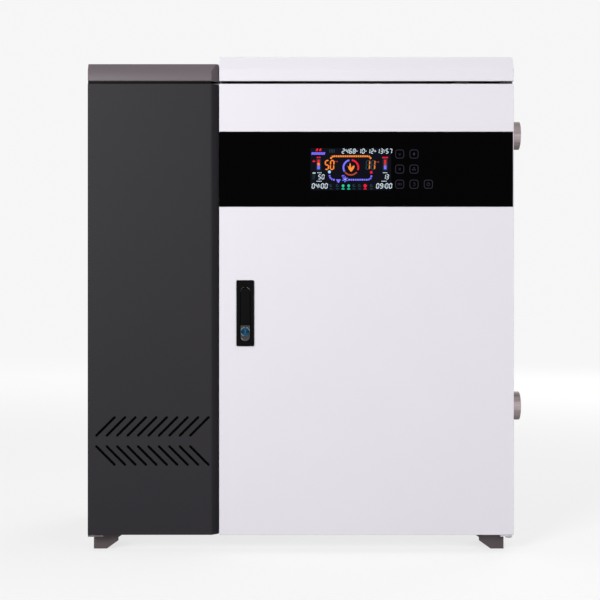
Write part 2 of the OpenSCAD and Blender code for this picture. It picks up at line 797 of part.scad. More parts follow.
impeller_blades = 6;
blade_t = 3;
rotor_core_r = 26;
module pump_rotor() color(brass) union() {
    bar_y(pump_mid_x, motor_front_y + motor_wall + play, stub_y, inlet_z, pump_shaft_r);
    bar_y(pump_mid_x, motor_front_y + 2 * motor_wall, volute_front_y - 3 * motor_wall, inlet_z, rotor_core_r);
    bar_y(pump_mid_x, stub_y - impeller_d / 2, stub_y - impeller_d / 4, inlet_z, impeller_r);
    bar_y(pump_mid_x, stub_y - impeller_d / 2, stub_y + impeller_d / 2, inlet_z, 2 * pump_shaft_r);
    for (i = [0:impeller_blades - 1]) {
        translate([pump_mid_x, stub_y - impeller_d / 2, inlet_z])
            rotate([0, i * 360 / impeller_blades, 0]) translate([pump_shaft_r, 0, 0])
                cube([impeller_r - pump_shaft_r - blade_t, impeller_d, blade_t]);
    }
}

// Safety valve: brass body with a side outlet, under a turning cap
valve_body_r = 15;
valve_body_h = 34;
valve_stem_r = 5;
valve_stem_h = 10;
valve_cap_r = 16;
valve_cap_h = 22;
valve_outlet_l = 30;
valve_outlet_r = 9;
valve_x = boss_xs[1];
valve_top_z = boss_z + valve_body_h;
module safety_valve() color(brass) difference() {
    union() {
        hexagon(valve_x, stub_y, boss_z, boss_z + valve_body_h / 3, valve_body_r);
        bar_z(valve_x, stub_y, boss_z, valve_top_z, 0.85 * valve_body_r);
        bar_z(valve_x, stub_y, valve_top_z, valve_top_z + valve_stem_h, valve_stem_r);
        bar_y(valve_x, stub_y, stub_y + valve_outlet_l, boss_z + 0.6 * valve_body_h, valve_outlet_r);
    }
    bar_y(valve_x, stub_y, stub_y + valve_outlet_l + overrun, boss_z + 0.6 * valve_body_h,
        valve_outlet_r - pipe_wall);
    bar_z(valve_x, stub_y, boss_z - overrun, boss_z + 0.6 * valve_body_h, boss_bore_r);
}

cap_ribs = 8;
cap_rib_r = 2.2;
module safety_valve_cap() color("firebrick") difference() {
    bar_z(valve_x, stub_y, valve_top_z + play, valve_top_z + valve_cap_h, valve_cap_r);
    bar_z(valve_x, stub_y, valve_top_z, valve_top_z + valve_stem_h + play, valve_stem_r + running);
    for (i = [0:cap_ribs - 1]) {
        a = i * 360 / cap_ribs;
        bar_z(valve_x + valve_cap_r * cos(a), stub_y + valve_cap_r * sin(a), valve_top_z,
            valve_top_z + valve_cap_h + overrun, cap_rib_r);
    }
}

// Automatic air vent
vent_r = 19;
vent_body_h = 46;
vent_neck_r = 5;
vent_x = boss_xs[0];
module air_vent() color(brass) union() {
    hexagon(vent_x, stub_y, boss_z, boss_z + vent_body_h / 5, boss_r);
    bar_z(vent_x, stub_y, boss_z + vent_body_h / 5, boss_z + vent_body_h, vent_r);
    bar_z(vent_x, stub_y, boss_z + vent_body_h, boss_z + vent_body_h + vent_neck_r, vent_neck_r + pipe_wall);
    bar_z(vent_x, stub_y, boss_z + vent_body_h, boss_z + vent_body_h + 2.4 * vent_neck_r, vent_neck_r);
}

// Pressure gauge that faces the door, with an open dial and its pointer
gauge_r = 26;
gauge_t = 24;
gauge_rim = 2.5;
gauge_depth = 8;
gauge_x = boss_xs[2];
gauge_rise = 9;
gauge_nut_h = 6;
gauge_z = boss_z + gauge_r + gauge_rise;
gauge_front_y = stub_y - gauge_t / 2;
gauge_pin_r = 1.5;
module pressure_gauge() color(steel) union() {
    difference() {
        bar_y(gauge_x, gauge_front_y, gauge_front_y + gauge_t, gauge_z, gauge_r);
        bar_y(gauge_x, gauge_front_y - overrun, gauge_front_y + gauge_depth, gauge_z, gauge_r - gauge_rim);
    }
    bar_y(gauge_x, gauge_front_y + 0.25 * gauge_depth, gauge_front_y + gauge_depth, gauge_z, gauge_pin_r);
    bar_z(gauge_x, stub_y, boss_z, gauge_z - gauge_r / 2, 0.6 * boss_r);
    hexagon(gauge_x, stub_y, boss_z, boss_z + gauge_nut_h, 0.85 * boss_r);
}

pointer_l = 17;
pointer_w = 1.8;
pointer_t = 1;
pointer_rest = 150;
pointer_y = gauge_front_y + 0.4 * gauge_depth;
module gauge_pointer() color(black) translate([gauge_x, pointer_y, gauge_z]) rotate([-90, 0, 0])
    difference() {
        union() {
            cylinder(h = pointer_t, r = 2 * gauge_pin_r);
            rotate([0, 0, pointer_rest]) translate([-gauge_pin_r * 3, -pointer_w / 2, 0])
                cube([pointer_l + gauge_pin_r * 3, pointer_w, pointer_t]);
        }
        translate([0, 0, -overrun]) cylinder(h = pointer_t + 2 * overrun, r = gauge_pin_r + running);
    }

// Drain: a bent tube from the vessel's neck to a ball valve inside the door
drain_bend_r = 26;
drain_drop = 8;
drain_z = vessel_z - neck_l - drain_bend_r - drain_drop;
drain_y = vessel_y - drain_bend_r;
drain_valve_l = 46;
drain_body_r = 15;
drain_valve_in = 34;
drain_valve_y = frame_y + drain_valve_in;
hose_tail_l = 18;
stem_r = 4;
stem_h = 8;
drain_stem_y = drain_valve_y + drain_valve_l / 2;
drain_stem_z = drain_z + drain_body_r;
module drain_run(r, extra) {
    bar_z(vessel_x, vessel_y, drain_z + drain_bend_r, vessel_z + extra, r);
    translate([vessel_x, drain_y, drain_z + drain_bend_r]) rotate([0, 90, 0]) quarter(drain_bend_r, r);
    bar_y(vessel_x, drain_valve_y - hose_tail_l - extra, drain_y, drain_z, r);
}

module drain_valve() color(brass) difference() {
    union() {
        drain_run(drain_r, 0);
        bar_y(vessel_x, drain_valve_y, drain_valve_y + drain_valve_l, drain_z, drain_body_r);
        bar_z(vessel_x, drain_stem_y, drain_z, drain_stem_z + stem_h, stem_r);
    }
    drain_run(drain_r - drain_wall, overrun);
}

drain_lever_l = 62;
drain_lever_w = 12;
drain_lever_t = 3;
drain_lever_z = drain_stem_z + stem_h / 4;
module drain_lever() color("firebrick") translate([vessel_x, drain_stem_y, drain_lever_z])
    difference() {
        union() {
            cylinder(h = drain_lever_t, r = drain_lever_w * 0.75);
            translate([0, -drain_lever_w / 2, 0]) cube([drain_lever_l, drain_lever_w, drain_lever_t]);
            translate([drain_lever_l, 0, 0]) cylinder(h = drain_lever_t, r = drain_lever_w / 2);
        }
        translate([0, 0, -overrun]) cylinder(h = drain_lever_t + 2 * overrun, r = stem_r + running);
    }

// Temperature probes in the flow pipe's and the lid's pockets
probe_r = 4;
probe_nut_r = 8;
probe_nut_h = 7;
probe_l = 22;
probe_ring_share = 0.66;
module temperature_probes() color(brass) {
    for (s = [-1, 1]) {
        union() {
            hexagon(vessel_x + s * probe_ring_share * vessel_r / 2, vessel_y - probe_ring_share * vessel_r,
                lid_top_z, lid_top_z + probe_nut_h, probe_nut_r);
            bar_z(vessel_x + s * probe_ring_share * vessel_r / 2, vessel_y - probe_ring_share * vessel_r,
                lid_top_z, lid_top_z + probe_l, probe_r);
        }
    }
}

// Mounting plate for the electric side, on stand-offs from the back panel
plate_back = 62;
plate_t = 2;
plate_in = 9;
plate_y = back_y - plate_back;
plate_rise = 40;
plate_drop = 26;
plate_z = pan_top_z + plate_rise;
plate_top_z = cap_z - plate_drop;
standoff_r = 5;
standoff_in = 16;
plate_x0 = column_bay_x + plate_in + rear_flange;
plate_x1 = divider_x - plate_in;
plate_mid_x = (plate_x0 + plate_x1) / 2;
module mounting_plate() color(zinc) union() {
    slab([plate_x0, plate_y, plate_z], [plate_x1, plate_y + plate_t, plate_top_z]);
    for (x = [plate_x0 + standoff_in, plate_x1 - standoff_in],
        z = [plate_z + 5 * standoff_in, plate_top_z - standoff_in]) {
        bar_y(x, plate_y, inner_back_y, z, standoff_r);
    }
}

// Mounting rail with the breaker and the contactor clipped to it
rail_w = 35;
rail_t = 7.5;
rail_sheet = 1;
breaker_drop = 75;
rail_step = 128;
breaker_z = plate_top_z - breaker_drop;
contactor_z = breaker_z - rail_step;
module rail(z) {
    slab([plate_x0 + standoff_r, plate_y - rail_sheet, z - rail_w / 3],
        [plate_x1 - standoff_r, plate_y, z + rail_w / 3]);
    for (s = [-1, 1]) {
        translate([0, 0, z + s * (rail_w / 3 - rail_sheet / 2)])
            slab([plate_x0 + standoff_r, plate_y - rail_t, -rail_sheet / 2],
                [plate_x1 - standoff_r, plate_y, rail_sheet / 2]);
        translate([0, 0, z + s * (rail_w / 2 - rail_w / 12)])
            slab([plate_x0 + standoff_r, plate_y - rail_t, -rail_w / 12],
                [plate_x1 - standoff_r, plate_y - rail_t + rail_sheet, rail_w / 12]);
    }
}

module mounting_rail() color(steel) {
    rail(breaker_z);
    rail(contactor_z);
}

// Circuit breaker with a slot for its linked toggle
breaker_w = 72;
breaker_h = 85;
breaker_d = 44;
nose_h = 45;
nose_d = 22;
slot_w = 54;
slot_h = 24;
slot_d = 17;
breaker_screw_d = 6;
toggle_r = 7;
trunnion_r = 2;
trunnion_l = 3;
breaker_back_y = plate_y - rail_t;
breaker_step_y = breaker_back_y - breaker_d;
breaker_front_y = breaker_step_y - nose_d;
toggle_in = 1.5;
toggle_y = breaker_front_y + toggle_r + toggle_in;
module circuit_breaker() color([0.8, 0.8, 0.78]) difference() {
    union() {
        slab([plate_mid_x - breaker_w / 2, breaker_step_y, breaker_z - breaker_h / 2],
            [plate_mid_x + breaker_w / 2, breaker_back_y, breaker_z + breaker_h / 2]);
        slab([plate_mid_x - breaker_w / 2, breaker_front_y, breaker_z - nose_h / 2],
            [plate_mid_x + breaker_w / 2, breaker_step_y, breaker_z + nose_h / 2]);
    }
    slab([plate_mid_x - slot_w / 2, breaker_front_y - overrun, breaker_z - slot_h / 2],
        [plate_mid_x + slot_w / 2, breaker_front_y + slot_d, breaker_z + slot_h / 2]);
    bar_x(plate_mid_x - slot_w / 2 - trunnion_l - play, plate_mid_x + slot_w / 2 + trunnion_l + play,
        toggle_y, breaker_z, trunnion_r + running);
    for (i = [-1.5:1.5], s = [-1, 1]) {
        bar_y(plate_mid_x + i * breaker_w / 4, breaker_step_y - overrun, breaker_step_y + breaker_screw_d,
            breaker_z + s * (breaker_h / 2 - toggle_r), trunnion_r * 1.6);
    }
}

toggle_bar_l = 22;
toggle_bar_t = 5;
toggle_rest = 28;
module breaker_toggle() color(black) translate([plate_mid_x, toggle_y, breaker_z]) union() {
    translate([-slot_w / 2 + play, 0, 0]) rotate([0, 90, 0]) cylinder(h = slot_w - 2 * play, r = toggle_r);
    translate([-slot_w / 2 - trunnion_l, 0, 0]) rotate([0, 90, 0])
        cylinder(h = slot_w + 2 * trunnion_l, r = trunnion_r);
    rotate([-toggle_rest, 0, 0]) translate([-slot_w / 2 + play, -toggle_bar_l, -toggle_bar_t / 2])
        cube([slot_w - 2 * play, toggle_bar_l, toggle_bar_t]);
}

// Contactor: a stepped block with terminal screws
contactor_w = 76;
contactor_h = 86;
contactor_d = 52;
contactor_face_w = 60;
contactor_face_h = 48;
contactor_face_d = 26;
contactor_step_y = breaker_back_y - contactor_d;
module contactor() color([0.2, 0.2, 0.21]) difference() {
    union() {
        slab([plate_mid_x - contactor_w / 2, contactor_step_y, contactor_z - contactor_h / 2],
            [plate_mid_x + contactor_w / 2, breaker_back_y, contactor_z + contactor_h / 2]);
        slab([plate_mid_x - contactor_face_w / 2, contactor_step_y - contactor_face_d,
            contactor_z - contactor_face_h / 2],
            [plate_mid_x + contactor_face_w / 2, contactor_step_y, contactor_z + contactor_face_h / 2]);
    }
    for (i = [-1, 0, 1], s = [-1, 1]) {
        bar_y(plate_mid_x + i * contactor_w / 3.6, contactor_step_y - overrun, contactor_step_y + toggle_r,
            contactor_z + s * (contactor_h / 2 - 1.2 * toggle_r), 2 * trunnion_r);
    }
}

// Terminal block for the mains cable, near the gland
block_w = 96;
block_h = 34;
block_d = 30;
block_poles = 5;
block_wall = 3;
block_rise = 30;
block_z = plate_z + block_rise;
module terminal_block() color([0.16, 0.16, 0.17]) difference() {
    slab([plate_mid_x - block_w / 2, plate_y - block_d, block_z],
        [plate_mid_x + block_w / 2, plate_y, block_z + block_h]);
    for (i = [0:block_poles - 1]) {
        slab([plate_mid_x - block_w / 2 + block_wall + i * (block_w - block_wall) / block_poles,
            plate_y - block_d - overrun, block_z - overrun],
            [plate_mid_x - block_w / 2 + (i + 1) * (block_w - block_wall) / block_poles,
            plate_y - block_d / 2, block_z + block_h + overrun]);
    }
}

// Heat sink on the plate, with the power module in front and the fan below
sink_w = 132;
sink_gap = 79.8;
sink_base = 8;
fin_l = 40;
fin_t = 3;
fin_count = 12;
sink_rise = 100;
sink_z = block_z + block_h + sink_rise;
sink_h = contactor_z - contactor_h / 2 - sink_gap - sink_z;
sink_front_y = plate_y - fin_l - sink_base;
module heat_sink() color(zinc) union() {
    slab([plate_mid_x - sink_w / 2, sink_front_y, sink_z],
        [plate_mid_x + sink_w / 2, plate_y - fin_l, sink_z + sink_h]);
    for (i = [0:fin_count - 1]) {
        x = plate_mid_x - sink_w / 2 + i * (sink_w - fin_t) / (fin_count - 1);
        slab([x, plate_y - fin_l, sink_z], [x + fin_t, plate_y, sink_z + sink_h]);
    }
}

module_w = 62;
module_h = 0.635 * sink_h;
module_d = 24;
module power_module() color([0.75, 0.75, 0.72]) difference() {
    slab([plate_mid_x - module_w / 2, sink_front_y - module_d, sink_z + (sink_h - module_h) / 2],
        [plate_mid_x + module_w / 2, sink_front_y, sink_z + (sink_h + module_h) / 2]);
    for (s = [-1, 0, 1]) {
        bar_y(plate_mid_x + s * module_w / 3, sink_front_y - module_d - overrun, sink_front_y - module_d / 2,
            sink_z + (sink_h + module_h) / 2 - 2 * toggle_r, 2 * trunnion_r);
    }
}

// Fan: square frame with a spider and a bearing boss, and one rotor
fan_w = 119;
fan_h = 38;
fan_bore_r = 56;
fan_gap = 6;
fan_z = sink_z - fan_gap - fan_h;
fan_y = plate_y - fan_w / 2;
fan_shaft_r = 3;
fan_boss_r = 20;
fan_boss_h = 12;
spoke_w = 6;
fan_tip_gap = 1.5;
module fan_frame() color(black) translate([plate_mid_x, fan_y, fan_z]) difference() {
    union() {
        difference() {
            translate([-fan_w / 2, -fan_w / 2, 0]) cube([fan_w, fan_w, fan_h]);
            translate([0, 0, -overrun]) cylinder(h = fan_h + 2 * overrun, r = fan_bore_r);
        }
        cylinder(h = fan_boss_h, r = fan_boss_r);
        for (i = [0:3]) {
            rotate([0, 0, 90 * i + 45]) translate([0, -spoke_w / 2, 0])
                cube([fan_bore_r + spoke_w / 2, spoke_w, spoke_w]);
        }
    }
    translate([0, 0, spoke_w / 2]) cylinder(h = fan_boss_h, r = fan_shaft_r + running);
}

fan_blades = 7;
blade_lean = 38;
blade_w = 22;
fan_blade_t = 1.8;
module fan_rotor() color([0.12, 0.12, 0.13]) translate([plate_mid_x, fan_y, fan_z]) {
    intersection() {
        union() {
            for (i = [0:fan_blades - 1]) {
                rotate([0, 0, i * 360 / fan_blades]) translate([0, 0, (fan_h + fan_boss_h) / 2])
                    rotate([blade_lean, 0, 0]) translate([0, -blade_w / 2, -fan_blade_t / 2])
                        cube([fan_bore_r, blade_w, fan_blade_t]);
            }
            translate([0, 0, fan_boss_h + play]) cylinder(h = fan_h - fan_boss_h - 2 * play, r = fan_boss_r);
            translate([0, 0, spoke_w / 2 + play]) cylinder(h = fan_boss_h, r = fan_shaft_r);
        }
        translate([0, 0, spoke_w / 2]) cylinder(h = fan_h, r = fan_bore_r - fan_tip_gap);
    }
}

// Cable gland through the back panel, low behind the column
gland_thread_r = 16;
gland_bore_r = 10;
gland_nut_r = 21;
gland_nut_h = 8;
gland_dome_r = 15;
gland_tail = 4;
module cable_gland() color(black) difference() {
    union() {
        bar_y(gland_x, inner_back_y - gland_nut_h - gland_tail, back_y + gland_nut_h, gland_z,
            gland_thread_r);
        bar_y(gland_x, back_y, back_y + gland_out, gland_z, gland_dome_r);
        translate([gland_x, back_y, gland_z]) rotate([-90, 0, 0])
            cylinder(h = gland_nut_h, r = gland_nut_r, $fn = 6);
        translate([gland_x, inner_back_y - gland_nut_h, gland_z]) rotate([-90, 0, 0])
            cylinder(h = gland_nut_h, r = gland_nut_r, $fn = 6);
    }
    bar_y(gland_x, inner_back_y - gland_nut_h - gland_tail - overrun, back_y + gland_out + overrun,
        gland_z, gland_bore_r);
}

// Internal cables: the breaker's feed to the contactor, and its output over to the elements
wire_r = 3;
wire_pitch = breaker_w / 4;
wire_step = 9;
riser_gap = 18;
cable_hole_y = contactor_step_y + contactor_d / 3;
wire_y = contactor_step_y - wire_r - play;
feed_z = contactor_z + contactor_h / 2;
terminal_z = lid_top_z + terminal_h;
function feed_x(i) = plate_mid_x + (i - 1) * wire_pitch;
function riser_x(i) = plate_mid_x + contactor_w / 2 + riser_gap + i * wire_step;
function run_y(i) = cable_hole_y + (i - 1) * wire_step;
function run_z(i) = cable_hole_z + (i - 1) * wire_step;
module power_cables() color([0.14, 0.12, 0.12]) {
    for (i = [0:2]) {
        bar_z(feed_x(i), wire_y, feed_z - 2 * wire_r, breaker_z - breaker_h / 2 + 2 * wire_r, wire_r);
        union() {
            bar_x(plate_mid_x + contactor_w / 2, riser_x(i), run_y(i), contactor_z, wire_r);
            translate([riser_x(i), run_y(i), contactor_z]) sphere(wire_r);
            bar_z(riser_x(i), run_y(i), contactor_z, run_z(i), wire_r);
            translate([riser_x(i), run_y(i), run_z(i)]) sphere(wire_r);
            bar_x(riser_x(i), leg_x(i), run_y(i), run_z(i), wire_r);
            translate([leg_x(i), run_y(i), run_z(i)]) sphere(wire_r);
            bar_y(leg_x(i), leg_y(-1), run_y(i), run_z(i), wire_r);
            translate([leg_x(i), leg_y(-1), run_z(i)]) sphere(wire_r);
            bar_z(leg_x(i), leg_y(-1), terminal_z, run_z(i), wire_r);
        }
    }
}

// Door shell: a pan with a stepped front for the glass and a lip round its back
door_lip = 12;
glass_side = 1;
glass_z = front_z + glass_rise;
glass_top_z = glass_z + glass_h;
glass_back_y = front_y + glass_t;
step_y = glass_back_y + sheet;
window_edge = 4;
module door_shell() color(pale) difference() {
    slab([door_x, front_y, front_z], [right_x, door_back_y, front_top_z]);
    slab([door_x + sheet, front_y + sheet, front_z + sheet],
        [right_x - sheet, door_back_y - sheet, glass_z - sheet]);
    slab([door_x + sheet, step_y, glass_z - 2 * sheet],
        [right_x - sheet, door_back_y - sheet, glass_top_z + 2 * sheet]);
    slab([door_x + sheet, front_y + sheet, glass_top_z + sheet],
        [right_x - sheet, door_back_y - sheet, front_top_z - sheet]);
    slab([door_x + door_lip, door_back_y - 2 * sheet, front_z + door_lip],
        [right_x - door_lip, door_back_y + overrun, front_top_z - door_lip]);
    slab([door_x + glass_side, front_y - overrun, glass_z],
        [right_x - glass_side, glass_back_y, glass_top_z]);
    slab([display_x - window_edge, front_y - overrun, glass_z + 4 * window_edge],
        [board_x + board_w + window_edge, step_y + overrun, glass_top_z - 4 * window_edge]);
    front_plate(lock_x, lock_z, front_y - overrun, front_y + 2 * sheet, dish_w + 2 * ease,
        dish_l + 2 * ease, dish_corner_r);
    for (z = [front_z, front_top_z - bush_l]) {
        bar_z(hinge_x, hinge_y, z - overrun, z + bush_l + overrun, bush_r + ease / 2);
    }
}

// Control glass, flush in its step
glass_gap = 0.3;
module control_glass() color(black)
    slab([door_x + glass_side + glass_gap, front_y, glass_z + glass_gap],
        [right_x - glass_side - glass_gap, glass_back_y, glass_top_z - glass_gap]);

// Display and touch board behind the glass
display_in = 325.6;
display_w = 129;
display_h = 67.5;
display_t = 7;
display_x = right_x - display_in;
display_z = glass_z + (glass_h - display_h) / 2;
board_t = 1.6;
board_edge = 2.5;
module display_module() color(black) union() {
    slab([display_x, glass_back_y, display_z],
        [display_x + display_w, glass_back_y + display_t, display_z + display_h]);
    slab([display_x - board_edge, glass_back_y + display_t, display_z - board_edge],
        [display_x + display_w + board_edge, glass_back_y + display_t + board_t,
        display_z + display_h + board_edge]);
}

key_in = 6.4;
key_rise = 14.05;
key_pitch = 22.95;
key_row = 24.15;
key_pad_r = 5;
key_pad_t = 5;
board_x = display_x + display_w + 3 * board_edge;
board_w = 68;
board_h = 76;
board_z = glass_z + (glass_h - board_h) / 2;
function key_x(i) = board_x + key_in + i * key_pitch;
function key_z(j) = board_z + key_rise + j * key_row;
module touch_board() color(board_green) union() {
    slab([board_x, glass_back_y + key_pad_t, board_z],
        [board_x + board_w, glass_back_y + key_pad_t + board_t, board_z + board_h]);
    for (i = [0:2], j = [0:2]) {
        if (i < 2 || j == 0) {
            bar_y(key_x(i), glass_back_y, glass_back_y + key_pad_t, key_z(j), key_pad_r);
        }
    }
}

// Control box behind the glass, open towards it, with air slots below
box_edge = 8;
box_depth = 46;
box_slots = 8;
module control_box() color(zinc) difference() {
    slab([display_x - box_edge, step_y, glass_z + box_edge],
        [board_x + board_w + box_edge, step_y + box_depth, glass_top_z - box_edge]);
    slab([display_x - box_edge + sheet, step_y - overrun, glass_z + box_edge + sheet],
        [board_x + board_w + box_edge - sheet, step_y + box_depth - sheet, glass_top_z - box_edge - sheet]);
    for (i = [0:box_slots - 1]) {
        slab([display_x + 2 * box_edge + i * 2.5 * box_edge, step_y + box_edge, glass_z + box_edge - overrun],
            [display_x + 2.5 * box_edge + i * 2.5 * box_edge, step_y + box_depth - box_edge,
            glass_z + box_edge + sheet + overrun]);
    }
}

// Lock frame: a plate with a dish behind it for the lever and the button
lock_x = door_x + lock_in;
lock_z = front_z + lock_rise;
lock_corner_r = 2;
dish_w = 22;
dish_edge = 4;
dish_l = lock_h - 2 * dish_edge;
dish_corner_r = 2;
dish_wall = 2;
lock_front_y = front_y - lock_proud;
dish_depth = 17;
dish_back_y = front_y + dish_depth;
lever_w = 15.2;
lever_gap = 0.8;
lever_slot_w = lever_w + 2 * lever_gap;
lever_head_r = lever_w / 2;
lever_edge = 9.6;
lever_top_z = lock_z + lock_h / 2 - lever_edge;
pivot_z = lever_top_z - lever_head_r;
pivot_r = 7;
pivot_y = lock_front_y + pivot_r;
button_edge = 8;
button_h = 25.2;
button_z = lock_z - lock_h / 2 + button_edge;
lever_l = lever_top_z - button_z - button_h - lever_gap;
lever_pin_r = 1.5;
spindle_r = 4.5;
slot_z0 = button_z - lever_gap;
slot_z1 = lever_top_z + lever_gap;
slot_r = lever_slot_w / 2;
slot_plate_z = slot_z0 + slot_r - dish_corner_r;
module lock_frame() color(black) difference() {
    union() {
        front_plate(lock_x, lock_z, lock_front_y, front_y, lock_w, lock_h, lock_corner_r);
        front_plate(lock_x, lock_z, front_y, dish_back_y, dish_w, dish_l, dish_corner_r);
    }
    front_plate(lock_x, (slot_plate_z + slot_z1) / 2, lock_front_y - overrun, dish_back_y - dish_wall,
        lever_slot_w, slot_z1 - slot_plate_z, dish_corner_r);
    bar_y(lock_x, lock_front_y - overrun, dish_back_y - dish_wall, slot_z0 + slot_r, slot_r);
    bar_x(lock_x - dish_w / 2 - overrun, lock_x + dish_w / 2 + overrun, pivot_y, pivot_z,
        lever_pin_r + ease / 4);
    bar_y(lock_x, dish_back_y - dish_wall - overrun, dish_back_y + overrun, pivot_z, spindle_r + running);
}

module lever_pin() color(steel)
    bar_x(lock_x - dish_w / 2, lock_x + dish_w / 2, pivot_y, pivot_z, lever_pin_r);

// Latch cam: a spindle through the dish, with an arm that hooks behind the door frame
cam_t = 3;
cam_w = 18;
cam_l = 38;
cam_y = inner_y + play + ease;
module latch_cam() color(steel) union() {
    bar_y(lock_x, dish_back_y - dish_wall, cam_y + cam_t, pivot_z, spindle_r);
    bar_y(lock_x, dish_back_y + play, dish_back_y + play + cam_t, pivot_z, 1.5 * spindle_r);
    bar_y(lock_x, cam_y, cam_y + cam_t, pivot_z, cam_w / 2);
    slab([lock_x - cam_w / 2, cam_y, pivot_z - cam_l], [lock_x + cam_w / 2, cam_y + cam_t, pivot_z]);
}

// Lever: a flush bar with a round head, hinged on its pin
lever_t = 7;
module lock_lever() color(black) difference() {
    intersection() {
        union() {
            bar_x(lock_x - lever_w / 2, lock_x + lever_w / 2, pivot_y, pivot_z, pivot_r);
            slab([lock_x - lever_w / 2, lock_front_y, lever_top_z - lever_l],
                [lock_x + lever_w / 2, lock_front_y + lever_t, pivot_z]);
        }
        union() {
            bar_y(lock_x, lock_front_y - overrun, dish_back_y, pivot_z, lever_head_r);
            slab([lock_x - lever_w / 2, lock_front_y - overrun, lever_top_z - lever_l],
                [lock_x + lever_w / 2, dish_back_y, pivot_z]);
        }
    }
    bar_x(lock_x - lever_w, lock_x + lever_w, pivot_y, pivot_z, lever_pin_r + running);
}

// Button below the lever, with the key barrel turning in it
button_t = 10;
barrel_r = 6.4;
ring_r = 7.4;
barrel_rise = 15.2;
barrel_z = button_z + barrel_rise;
keyway_w = 1.6;
keyway_l = 6.4;
module lock_button() color([0.3, 0.3, 0.31]) difference() {
    union() {
        slab([lock_x - lever_w / 2, lock_front_y, button_z + lever_head_r],
            [lock_x + lever_w / 2, lock_front_y + button_t, button_z + button_h]);
        bar_y(lock_x, lock_front_y, lock_front_y + button_t, button_z + lever_head_r, lever_head_r);
        bar_y(lock_x, lock_front_y - ring_out, lock_front_y, barrel_z, ring_r);
    }
    bar_y(lock_x, lock_front_y - ring_out - overrun, lock_front_y + button_t + overrun, barrel_z,
        barrel_r + running);
}

module key_barrel() color([0.15, 0.35, 0.6]) difference() {
    bar_y(lock_x, lock_front_y - ring_out / 2, lock_front_y + button_t, barrel_z, barrel_r);
    slab([lock_x - keyway_w / 2, lock_front_y - ring_out - overrun, barrel_z - keyway_l / 2],
        [lock_x + keyway_w / 2, lock_front_y + button_t / 2, barrel_z + keyway_l / 2]);
}

base_pan();
feet();
foot_bolts();
left_side_panel();
right_side_panel();
back_panel();
divider_panel();
door_frame();
door_seal();
column_front_cover();
air_filter();
column_top_cap();
main_top_cap();
panel_screws();
hinge_brackets();
hinge_pins();
vessel_stand();
heating_vessel();
vessel_foot();
vessel_jacket();
heater_lid();
heating_elements();
outlet_pipe();
inlet_pipes();
pipe_grommets();
pump_volute();
pump_motor();
pump_rotor();
safety_valve();
safety_valve_cap();
air_vent();
pressure_gauge();
gauge_pointer();
drain_valve();
drain_lever();
temperature_probes();
mounting_plate();
mounting_rail();
circuit_breaker();
breaker_toggle();
contactor();
terminal_block();
heat_sink();
power_module();
fan_frame();
fan_rotor();
cable_gland();
power_cables();
door_shell();
control_glass();
display_module();
touch_board();
control_box();
hinge_bushes();
lock_frame();
lever_pin();
latch_cam();
lock_lever();
lock_button();
key_barrel();
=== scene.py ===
import json
import math
import bpy
import bmesh
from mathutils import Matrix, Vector


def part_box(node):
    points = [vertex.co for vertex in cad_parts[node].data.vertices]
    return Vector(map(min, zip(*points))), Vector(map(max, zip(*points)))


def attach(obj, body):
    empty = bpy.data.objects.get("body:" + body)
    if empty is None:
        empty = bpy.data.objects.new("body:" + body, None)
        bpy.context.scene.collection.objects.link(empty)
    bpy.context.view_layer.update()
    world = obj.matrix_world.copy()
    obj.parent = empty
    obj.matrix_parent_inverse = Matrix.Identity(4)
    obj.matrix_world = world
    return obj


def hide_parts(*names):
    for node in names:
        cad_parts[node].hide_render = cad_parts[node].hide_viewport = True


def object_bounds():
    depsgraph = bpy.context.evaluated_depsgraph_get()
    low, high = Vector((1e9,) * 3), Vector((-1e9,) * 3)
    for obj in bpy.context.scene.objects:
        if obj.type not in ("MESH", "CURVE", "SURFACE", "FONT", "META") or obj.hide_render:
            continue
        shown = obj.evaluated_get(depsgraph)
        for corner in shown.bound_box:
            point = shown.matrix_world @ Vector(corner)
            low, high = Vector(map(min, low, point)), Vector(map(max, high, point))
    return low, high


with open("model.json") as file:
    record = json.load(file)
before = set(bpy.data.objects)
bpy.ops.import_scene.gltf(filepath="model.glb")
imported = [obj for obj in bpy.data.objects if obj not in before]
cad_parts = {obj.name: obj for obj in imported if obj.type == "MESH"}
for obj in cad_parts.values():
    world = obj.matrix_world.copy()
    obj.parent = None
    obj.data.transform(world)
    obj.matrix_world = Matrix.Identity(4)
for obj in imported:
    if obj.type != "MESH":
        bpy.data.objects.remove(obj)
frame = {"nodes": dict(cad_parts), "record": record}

cadBounds = [list(corner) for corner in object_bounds()]
cadNodes = frame["nodes"]
bodyOf = {node: body for body, nodes in frame["record"]["behaviour"]["bodies"].items() for node in nodes}
# the bodies that new pieces ride on
cabinet, door = bodyOf["base_pan"], bodyOf["door_shell"]
button, barrel = bodyOf["lock_button"], bodyOf["key_barrel"]
scene = bpy.context.scene
mm = 0.001
print("frame loaded,", len(cadNodes), "nodes")


def boxMm(node):
    # lowest and highest corner of a CAD node, in mm
    return [Vector(corner) * 1000 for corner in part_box(node)]


glassLow, glassHigh = boxMm("control_glass")
frontY = glassLow.y

# camera: level, square to the door, at the photographed distance
cameraSet = {"lens": 75.6, "sensor": 36.0, "x": -0.0172, "y": -2.227, "belowTop": 0.3918}
cameraData = bpy.data.cameras.new("studioCamera")
cameraData.lens = cameraSet["lens"]
cameraData.sensor_width = cameraSet["sensor"]
camera = bpy.data.objects.new("studioCamera", cameraData)
camera.location = (cameraSet["x"], cameraSet["y"], cadBounds[1][2] - cameraSet["belowTop"])
camera.rotation_euler = (math.radians(90), 0, 0)
scene.collection.objects.link(camera)
scene.camera = camera
scene.view_settings.view_transform = "Standard"


